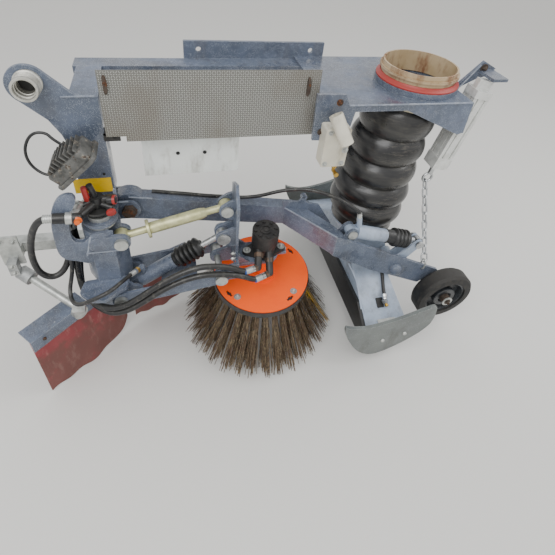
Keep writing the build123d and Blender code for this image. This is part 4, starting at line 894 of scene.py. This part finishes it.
# Skids: thick curved steel plates at both ends of the nozzle, muddy and worn bright at the
# edges, with a thick bracket behind the outer one.
def smooth(points, steps=4):
    """Closed line that bends smoothly through points."""
    result, n = [], len(points)
    for i in range(n):
        a, b, c, d = (Vector(points[(i + k) % n]) for k in (-1, 0, 1, 2))
        for k in range(steps):
            t = k / steps
            result.append(tuple(0.5 * (2 * b + (c - a) * t + (2 * a - 5 * b + 4 * c - d) * t ** 2
                                       + (3 * b - a - 3 * c + d) * t ** 3)))
    return result


def upright(y, thick, outline, edge=0.0, bm=None):
    """Upright plate whose outboard face lies at y; outline to the rear and up."""
    place = Matrix(((1, 0, 0, 0), (0, 0, -1, 0), (0, 1, 0, 0), (0, 0, 0, 1)))
    place.translation = road(0, y + thick, 0)
    fresh = slab(place, outline, 0, thick)
    if edge:
        rims = [e for e in fresh.edges if abs(e.verts[0].co.y - e.verts[1].co.y) < 1e-7]
        bmesh.ops.bevel(fresh, geom=rims, offset=edge / 1000, segments=2, profile=0.5, affect="EDGES")
    part, bm = close_mesh(fresh, "plate"), bm or bmesh.new()
    bm.from_mesh(part)
    bpy.data.meshes.remove(part)
    return bm


worn_skid = wet_paint("skid_metal", "5E6361", "707572", "55504A", "B9BCB8", wear=1.0, grime=0.7, wet=0.4)
skid = smooth([
    (571, 276), (592, 268), (648, 254), (711, 259), (784, 277), (846, 299), (895, 317), (922, 326),
    (934, 306), (941, 232), (918, 181), (872, 134), (818, 96), (765, 71), (712, 66), (656, 105),
    (612, 168), (582, 228)])
for name, y in (("skid_outer", 764), ("skid_inner", 1622)):
    add_piece(name, upright(y, 14, skid, 1.5), worn_skid, "nozzle", (name,), 30)
add_piece("skid_bracket", upright(778, 19, [(735, 120), (821, 150), (821, 240), (735, 226)], 1.5), pale,
          "nozzle")


# Crescent shield: thick plate in slate paint before the post that guards the hoses, over
# the plainer one of the CAD.
crescent = smooth([
    (-255, 787), (-264, 798), (-290, 793), (-308, 773), (-321, 747), (-328, 714), (-334, 683), (-338, 612),
    (-334, 575), (-316, 552), (-289, 545), (-259, 530), (-222, 560), (-215, 640), (-236, 648), (-252, 627),
    (-270, 620), (-287, 628), (-291, 654), (-288, 689), (-281, 716), (-269, 745), (-257, 768)])
add_piece("crescent_shield", upright(979.5, 15, crescent, 1.5), slate, "king_post", (), 30)


# Thrust disc: thick zinc washer between post head and upper lug. It lies loose on the
# king pin, and the post turns on it.
add_piece("thrust_disc", turned(facing((-212, 1035, 0), skyward), [
    (650, 42), (650.5, 43.5), (661, 43.5), (661.7, 42)], 40), zinc, "carrier", ("thrust_disc",))


# Work lamp: finned alloy housing with a glass front, turned down to the brush on a stem
# from the column. Its cable leaves the back in a loop and enters the side.
lamp_across, lamp_back = Vector((127, 0, 119)).normalized(), Vector((-119, 0, 127)).normalized()
lamp_place = Matrix((lamp_across, lamp_back.cross(lamp_across), lamp_back)).transposed().to_4x4()
lamp_place.translation = road(-250, 1030, 877)
bm = bmesh.new()
for outline, low, high, edge in ((rounded(128, 90, 16), -17, 17, 4), (rounded(140, 100, 14), -28, -16, 2)):
    fresh = slab(lamp_place, outline, low, high)
    rims = {e for face in fresh.faces if len(face.verts) > 4 for e in face.edges}
    rims = [e for e in fresh.edges if e in rims]
    bmesh.ops.bevel(fresh, geom=rims, offset=edge / 1000, segments=3, profile=0.5, affect="EDGES")
    bm.from_mesh(close_mesh(fresh, "lamp_part"))
fin, fin_pitch = rounded(4.5, 78, 1.5, 2), 12.5
for k in range(-4, 5):
    slab(lamp_place @ Matrix.Translation((k * fin_pitch / 1000, 0, 0)), fin, 12, 40 - 12 * (k / 4) ** 2, bm)
turned(facing((-246, 1060, 868), (10, 32, -32)), [(-6, 12), (46, 12)], 24, bm=bm)
turned(facing((-250, 1058, 876), inboard), [(-12, 16), (14, 16)], 24, bm=bm)
turned(facing((-235, 1090, 838), inboard), [(-6, 19), (10, 19)], 24, bm=bm)
add_piece("work_lamp", bm, plain_metal("muddy_alloy", "6C6C69", "4A4A48", "8A857A", 0.55, 0.6, 0.4),
          "carrier", ("work_lamp",))
add_piece("lamp_lens", slab(lamp_place, rounded(100, 68, 8), -29.2, -27),
          soft_black("lamp_lens", "B9BEC2", "8A857A", 0.5, 0.15), "carrier")


def at_lamp(x, y, z):
    """Road point from a point in the lamp's own frame."""
    return (lamp_place @ (Vector((x, y, z)) / 1000)) * 1000 + mount


add_piece("lamp_cable", tube_mesh("lamp_cable", 4, [
    at_lamp(12, 22, 32), at_lamp(8, 24, 62), (-300, 1062, 944), (-328, 1064, 946), (-350, 1066, 926),
    (-367, 1070, 888), (-366, 1070, 850), (-346, 1062, 824), at_lamp(-92, 22, 2), at_lamp(-70, 22, 1),
    at_lamp(-54, 22, 1)]), rubber, "carrier", ("lamp_cable",))


# Swivel fittings at the king pin: black plastic sleeves with red rings, a red cap sleeve, and
# a galvanised valve body with an orange cap.
red_plastic = soft_black("red_plastic", "A32A26", "6B4C44", 0.4, 0.4)
ring = [(-4, 12.5), (-3.5, 14), (3.5, 14), (4, 12.5)]
toward_road, toward_arm = (0.2, -0.9, -0.25), (0.9, -0.2, 0.1)
sleeves("push_fittings", plastic, "king_post", [
    ((-176, 1014, 712), toward_road, [(-8, 12.5), (-7, 14), (9, 14), (12, 11)]),
    ((-171, 1020, 742), toward_arm, [(-8, 12), (-7, 13), (14, 13), (16, 10)])])
sleeves("red_rings", red_plastic, "king_post", [
    ((-173, 1003, 709), toward_road, ring), ((-160, 1018, 743), toward_arm, ring)])
sleeves("cap_sleeve", red_plastic, "king_post", [
    ((-236, 1028, 762), (-0.05, -0.05, 1), [(-26, 7), (-26, 9), (22, 9), (26, 7.5), (27, 4)])])
sleeves("valve_body", zinc, "king_post", [
    ((-262, 1000, 728), (0.17, 0.98, 0), [(-30, 15), (-29, 17.5), (-12, 17.5), (-11, 14.5), (14, 14.5),
                                          (15, 17.5), (24, 17.5), (25, 15)]),
    ((-290, 963.5, 733), (-0.99, -0.06, 0.1), [(-22, 14.5), (-20, 17.5), (-4, 17.5), (-3, 14), (10, 14),
                                               (12, 12)])], 28)
sleeves("valve_cap", soft_black("orange_plastic", "E0651A", "7A4E30", 0.3, 0.4), "king_post", [
    ((-256, 958, 728), (0.1, -0.98, 0.05), [(-6, 11), (-4, 12), (3, 12.5), (6, 9), (14, 8), (15, 6)])])


# Water coupling: machined alloy nozzle with thread rings and a stepped bore, screwed into
# the front end of the column; deep inside, where its valve sits, a near-black disc is painted shade.
coupling_place = facing((-318, 1100, 1066), outward)
tube, thread_pitch = [(0, 32), (2, 33.5), (9, 33.5), (11, 30)], 4.4
for z in (13 + thread_pitch * k for k in range(5)):
    tube += [(z, 29), (z + 1.2, 31), (z + 3.2, 31), (z + thread_pitch, 29)]
tube += [(38, 31.5), (48, 31.5), (50, 30.5), (50, 26), (48.5, 25), (38, 25), (37, 22.5), (26, 22.5), (25, 21),
         (4, 21), (0, 21)]
add_piece("fill_coupling", turned(coupling_place, tube, 56, closed=True),
          plain_metal("machined_alloy", "C9C8C0", "A9A79E", "8A7A5E", 0.15, 0.35, 0.6), "carrier",
          ("fill_coupling",))
# near-black disc deep in the bore: painted shade
add_piece("coupling_valve", turned(coupling_place, [(2, 20.6), (6, 20.6)], 40),
          soft_black("painted_bore_shade", "191817", "3A3835", 0.3, 0.5), "carrier")


# Lift ram: drawn alloy profile with two slots along each face and square end blocks, hung
# by a lug from the frame's gusset. Its rod pulls the chain of the long arm.
ram_top, ram_foot = Vector((1034, 1120, 1019)), Vector((975, 1120, 720))
ram_place, ram_length = facing(ram_top, ram_foot - ram_top), (ram_foot - ram_top).length
half, slot, deep, block = 31, 3.5, 6, 46
face = [(-half, -half)]
for x in (-15, 15):
    face += [(x - slot, -half), (x - slot, deep - half), (x + slot, deep - half), (x + slot, -half)]
outline = [(x * c - y * s, x * s + y * c) for c, s in ((1, 0), (0, 1), (-1, 0), (0, -1)) for x, y in face]
bm = slab(ram_place, outline, 20, ram_length - block)
slab(ram_place, rounded(66, 66, 5), -4, 22, bm)
slab(ram_place, rounded(26, 58, 4), -36, 0, bm)
turned(ram_place @ Matrix.Rotation(math.radians(45), 4, "Z"), [
    (ram_length - block, 17), (ram_length - block, 46.6), (ram_length, 46.6), (ram_length, 17)], 4, True, bm)
add_piece("lift_barrel", bm, plain_metal("ram_alloy", "E2E3E0", "CCCDC9", "6F6353", 0.05, 0.4, 0.35),
          "carrier", ("lift_barrel",), 30)


# Duct seal: thin lip of red rubber, moulded with steps. It sits on the collar of the hose
# frame, round the cream duct.
add_piece("duct_seal", turned(facing((833, 1200, 1030.3), skyward), [
    (0, 124.5), (0, 138), (4, 138.5), (7, 136), (10, 130), (15, 127.5), (15, 124.5)], 72, closed=True),
    soft_black("seal_red_rubber", "A8302A", "7A5044", 0.5, 0.5), "carrier", ("duct_seal",))


# Motor of the brush: raised ring and boss on its cap, and rusty nuts on the two elbows
# that carry the hoses.
cap = facing(on_brush(0, 0, 238), spin_axis)
bm = turned(cap, [(-1, 15), (2, 15), (2, 21), (-1, 21)], closed=True)
add_piece("motor_cap_ring", turned(cap, [(-1, 9), (1.5, 9), (3, 6)], 24, bm=bm), oily_black, "brush_head")
port_nut = [(-9, 13.5), (-8, 16), (6, 16), (8, 14)]
hose_nut = [(-7, 11.5), (-6, 13.5), (5, 13.5), (6, 12)]
rusty_fitting = plain_metal("rusty_fitting", "6B5A4C", "4A3E36", "7A4A2C", 0.5, 0.5, 0.5)
sleeves("elbow_nuts", rusty_fitting, "brush_head", [
    ((279, 977, 484), (-0.2, -0.85, -0.45), port_nut), ((316, 968, 463), (-0.07, -0.75, -0.65), port_nut),
    ((262, 938.6, 462.4), (-0.96, -0.28, 0.03), hose_nut),
    ((303, 931, 432.7), (-0.95, -0.28, -0.12), hose_nut)], 6)


# Lock plate of the tie rod, zinc block on the end of the stay, and the gusset with a ring
# that is welded on the long arm.
tie_line = (331, 46, 49)
sleeves("tie_lock_plate", yellow_zinc, "tie_rod", [
    ((-76.5, 1020.3, 616.1), tie_line, [(-5, 29), (-4, 30), (3, 30), (4, 29)])], 40)
add_piece("stay_end_block", slab(facing((-325, 960, 342), (0, -0.3, 1)), rounded(40, 30, 6), -10, 8), zinc,
          "carrier")
bm = upright(1119, 8, [(388, 604), (452, 592), (461, 606), (477, 604), (486, 584), (534, 570), (600, 470),
                       (560, 440), (398, 560)], 1)
turned(facing((469, 1122, 613), outward), [(-8, 6), (-8, 11.5), (8, 11.5), (8, 6)], 28, True, bm)
add_piece("arm_ring", bm, slate, "trailing_arm")


# Fittings of the valve box: a near-black disc of painted shade in the mouth of its small
# sheet hood, and the brass elbow that is screwed in from below.
# near-black finish that paints the shade inside holes and mouths
painted_hole_shade = soft_black("painted_hole_shade", "0E0E0E", "22201E", 0.2, 0.6)
sleeves("valve_hood_mouth", painted_hole_shade, "carrier", [((511, 969, 928), (38, -34, -78), [(1, 16), (3.2, 16)])])
sleeves("valve_elbow", brass, "carrier", [
    ((512, 1022, 812), (0, 0, -1), [(-14, 8), (-13, 9.5), (2, 9.5), (3, 6), (16, 6)]),
    ((512, 1014, 797), outward, [(-10, 6), (12, 6), (13, 8), (22, 8)])], 20)


# Small plates of the carrier: plain yellow plate and step bracket on the column, rusty
# latches of the skirt, and near-black domes of painted shade on the holes in column,
# bracket and splash plate.
yellow = wet_paint("yellow_plate", "F2C410", "F6CE24", "7E6030", "C9A85A", wear=0.4, grime=0.3, wet=0.4)
add_piece("yellow_plate", upright(1098, 2, [(-277, 714), (-171, 714), (-171, 765), (-277, 765)]), yellow,
          "carrier")
bm = upright(1093, 3, [(-168, 893), (-124, 893), (-124, 916), (-168, 916)])
upright(1093, 40, [(-168, 912), (-124, 912), (-124, 916), (-168, 916)], bm=bm)
add_piece("step_bracket", bm, oily_black, "carrier")
bm = bmesh.new()
for x, low, high in ((-141, 1040, 1085), (411, 1026, 1077)):
    latch = [(x - 4, low), (x + 3, low), (x + 6, low + 22), (x + 3, high), (x - 4, high), (x - 5, low + 26)]
    upright(1082, 6, smooth(latch, 3), 1, bm)
add_piece("skirt_latches", bm, rust_metal, "carrier")
# near-black domes that paint the shade in the holes
scatter("carrier_holes", round_head, painted_hole_shade, "carrier", [
    ((-187, 1099.8, 779), outward, 4), ((-140, 1092.8, 903), outward, 3.5), ((32, 1149.6, 808), outward, 6),
    ((116, 1149.6, 807), outward, 6)])
for shape in (hex_bolt, round_head, ripple):
    bpy.data.objects.remove(shape)


# Upper side of the nozzle: rib and ridge folded into its sheet, and a zinc tab bolted on by
# the skid. A short rubber spray hose ends in a steel elbow with a brass jet over its hole,
# whose shade is painted as a near-black plate.
add_piece("nozzle_rib", tube_mesh("nozzle_rib", 3, [
    (688, 1035, 321), (690, 990, 296), (692, 934, 266), (694, 890, 242), (697, 850, 220)]), pale, "nozzle")
add_piece("nozzle_ridge", tube_mesh("nozzle_ridge", 4, [
    (676, 1032, 318), (693, 979, 289), (691, 926, 260), (686, 868, 228)]), pale, "nozzle")
add_piece("nozzle_tab", slab(facing((778, 812, 0), skyward), rounded(76, 66, 4), 196, 206), zinc, "nozzle")
# near-black plate: painted shade of the hole under the jet
add_piece("jet_hole", slab(facing((768, 880, 236.5), (0, -0.48, 0.88)), rounded(30, 40, 4), 0, 1.2),
          painted_hole_shade, "nozzle")
add_piece("spray_hose", tube_mesh("spray_hose", 7, [
    (818, 1030, 325), (808, 992, 308), (800, 950, 287), (792, 915, 268), (789, 895, 262), (788, 886, 255)]),
    rubber, "nozzle")
sleeves("spray_fitting", steel, "nozzle", [
    ((789, 892, 258), (-0.1, -0.8, -0.5), [(-9, 8.5), (-8, 10), (3, 10), (4, 8), (12, 8)]),
    ((786, 876, 246), (0.3, -0.6, -0.75), [(-8, 10), (-7, 11.5), (5, 11.5), (6, 9)])], 8)
sleeves("spray_jet", brass, "nozzle", [
    ((789, 868, 240), (0.3, -0.7, -0.6), [(-6, 6), (2, 6), (5, 7.5), (9, 7.5), (11, 5)])])


# Studio: plain pale floor at road level, a world of soft light that shows pale behind the
# unit and in its reflections, and two large lamps.
far, ground = 14, -0.945
mesh = bpy.data.meshes.new("floor")
mesh.from_pydata([(-far, -far, ground), (far, -far, ground), (far, far, ground), (-far, far, ground)],
                 [], [(0, 1, 2, 3)])
mesh.materials.append(Finish("floor").done({"Base Color": "D9D8D4", "Roughness": 0.9}))
put("floor", mesh)

world = bpy.data.worlds.new("studio")
world.use_nodes = True
bpy.context.scene.world = world
tree = world.node_tree
background, path = tree.nodes["Background"].inputs, tree.nodes.new("ShaderNodeLightPath").outputs
light_on_unit, light_behind, unit_middle = 0.92, 1.0, Vector((0, -0.3, -0.4))
seen = add_node(tree, "ShaderNodeMath", {"operation": "ADD", "use_clamp": True},
                {0: path["Is Camera Ray"], 1: path["Is Glossy Ray"]})
strength = add_node(tree, "ShaderNodeMapRange", {},
                    {"Value": seen, "To Min": light_on_unit, "To Max": light_behind})
tree.links.new(strength, background["Strength"])
background["Color"].default_value = (1, 1, 1, 1)
for name, place, size, power in (("sky_panel", (-1.6, -2.6, 2.9), 3.0, 125),
                                 ("rear_panel", (2.8, -0.6, 2.4), 2.2, 55)):
    lamp = put(name, bpy.data.lights.new(name, "AREA"))
    lamp.data.energy, lamp.data.size, lamp.location = power, size, place
    lamp.rotation_euler = (unit_middle - Vector(place)).to_track_quat("-Z", "Y").to_euler()
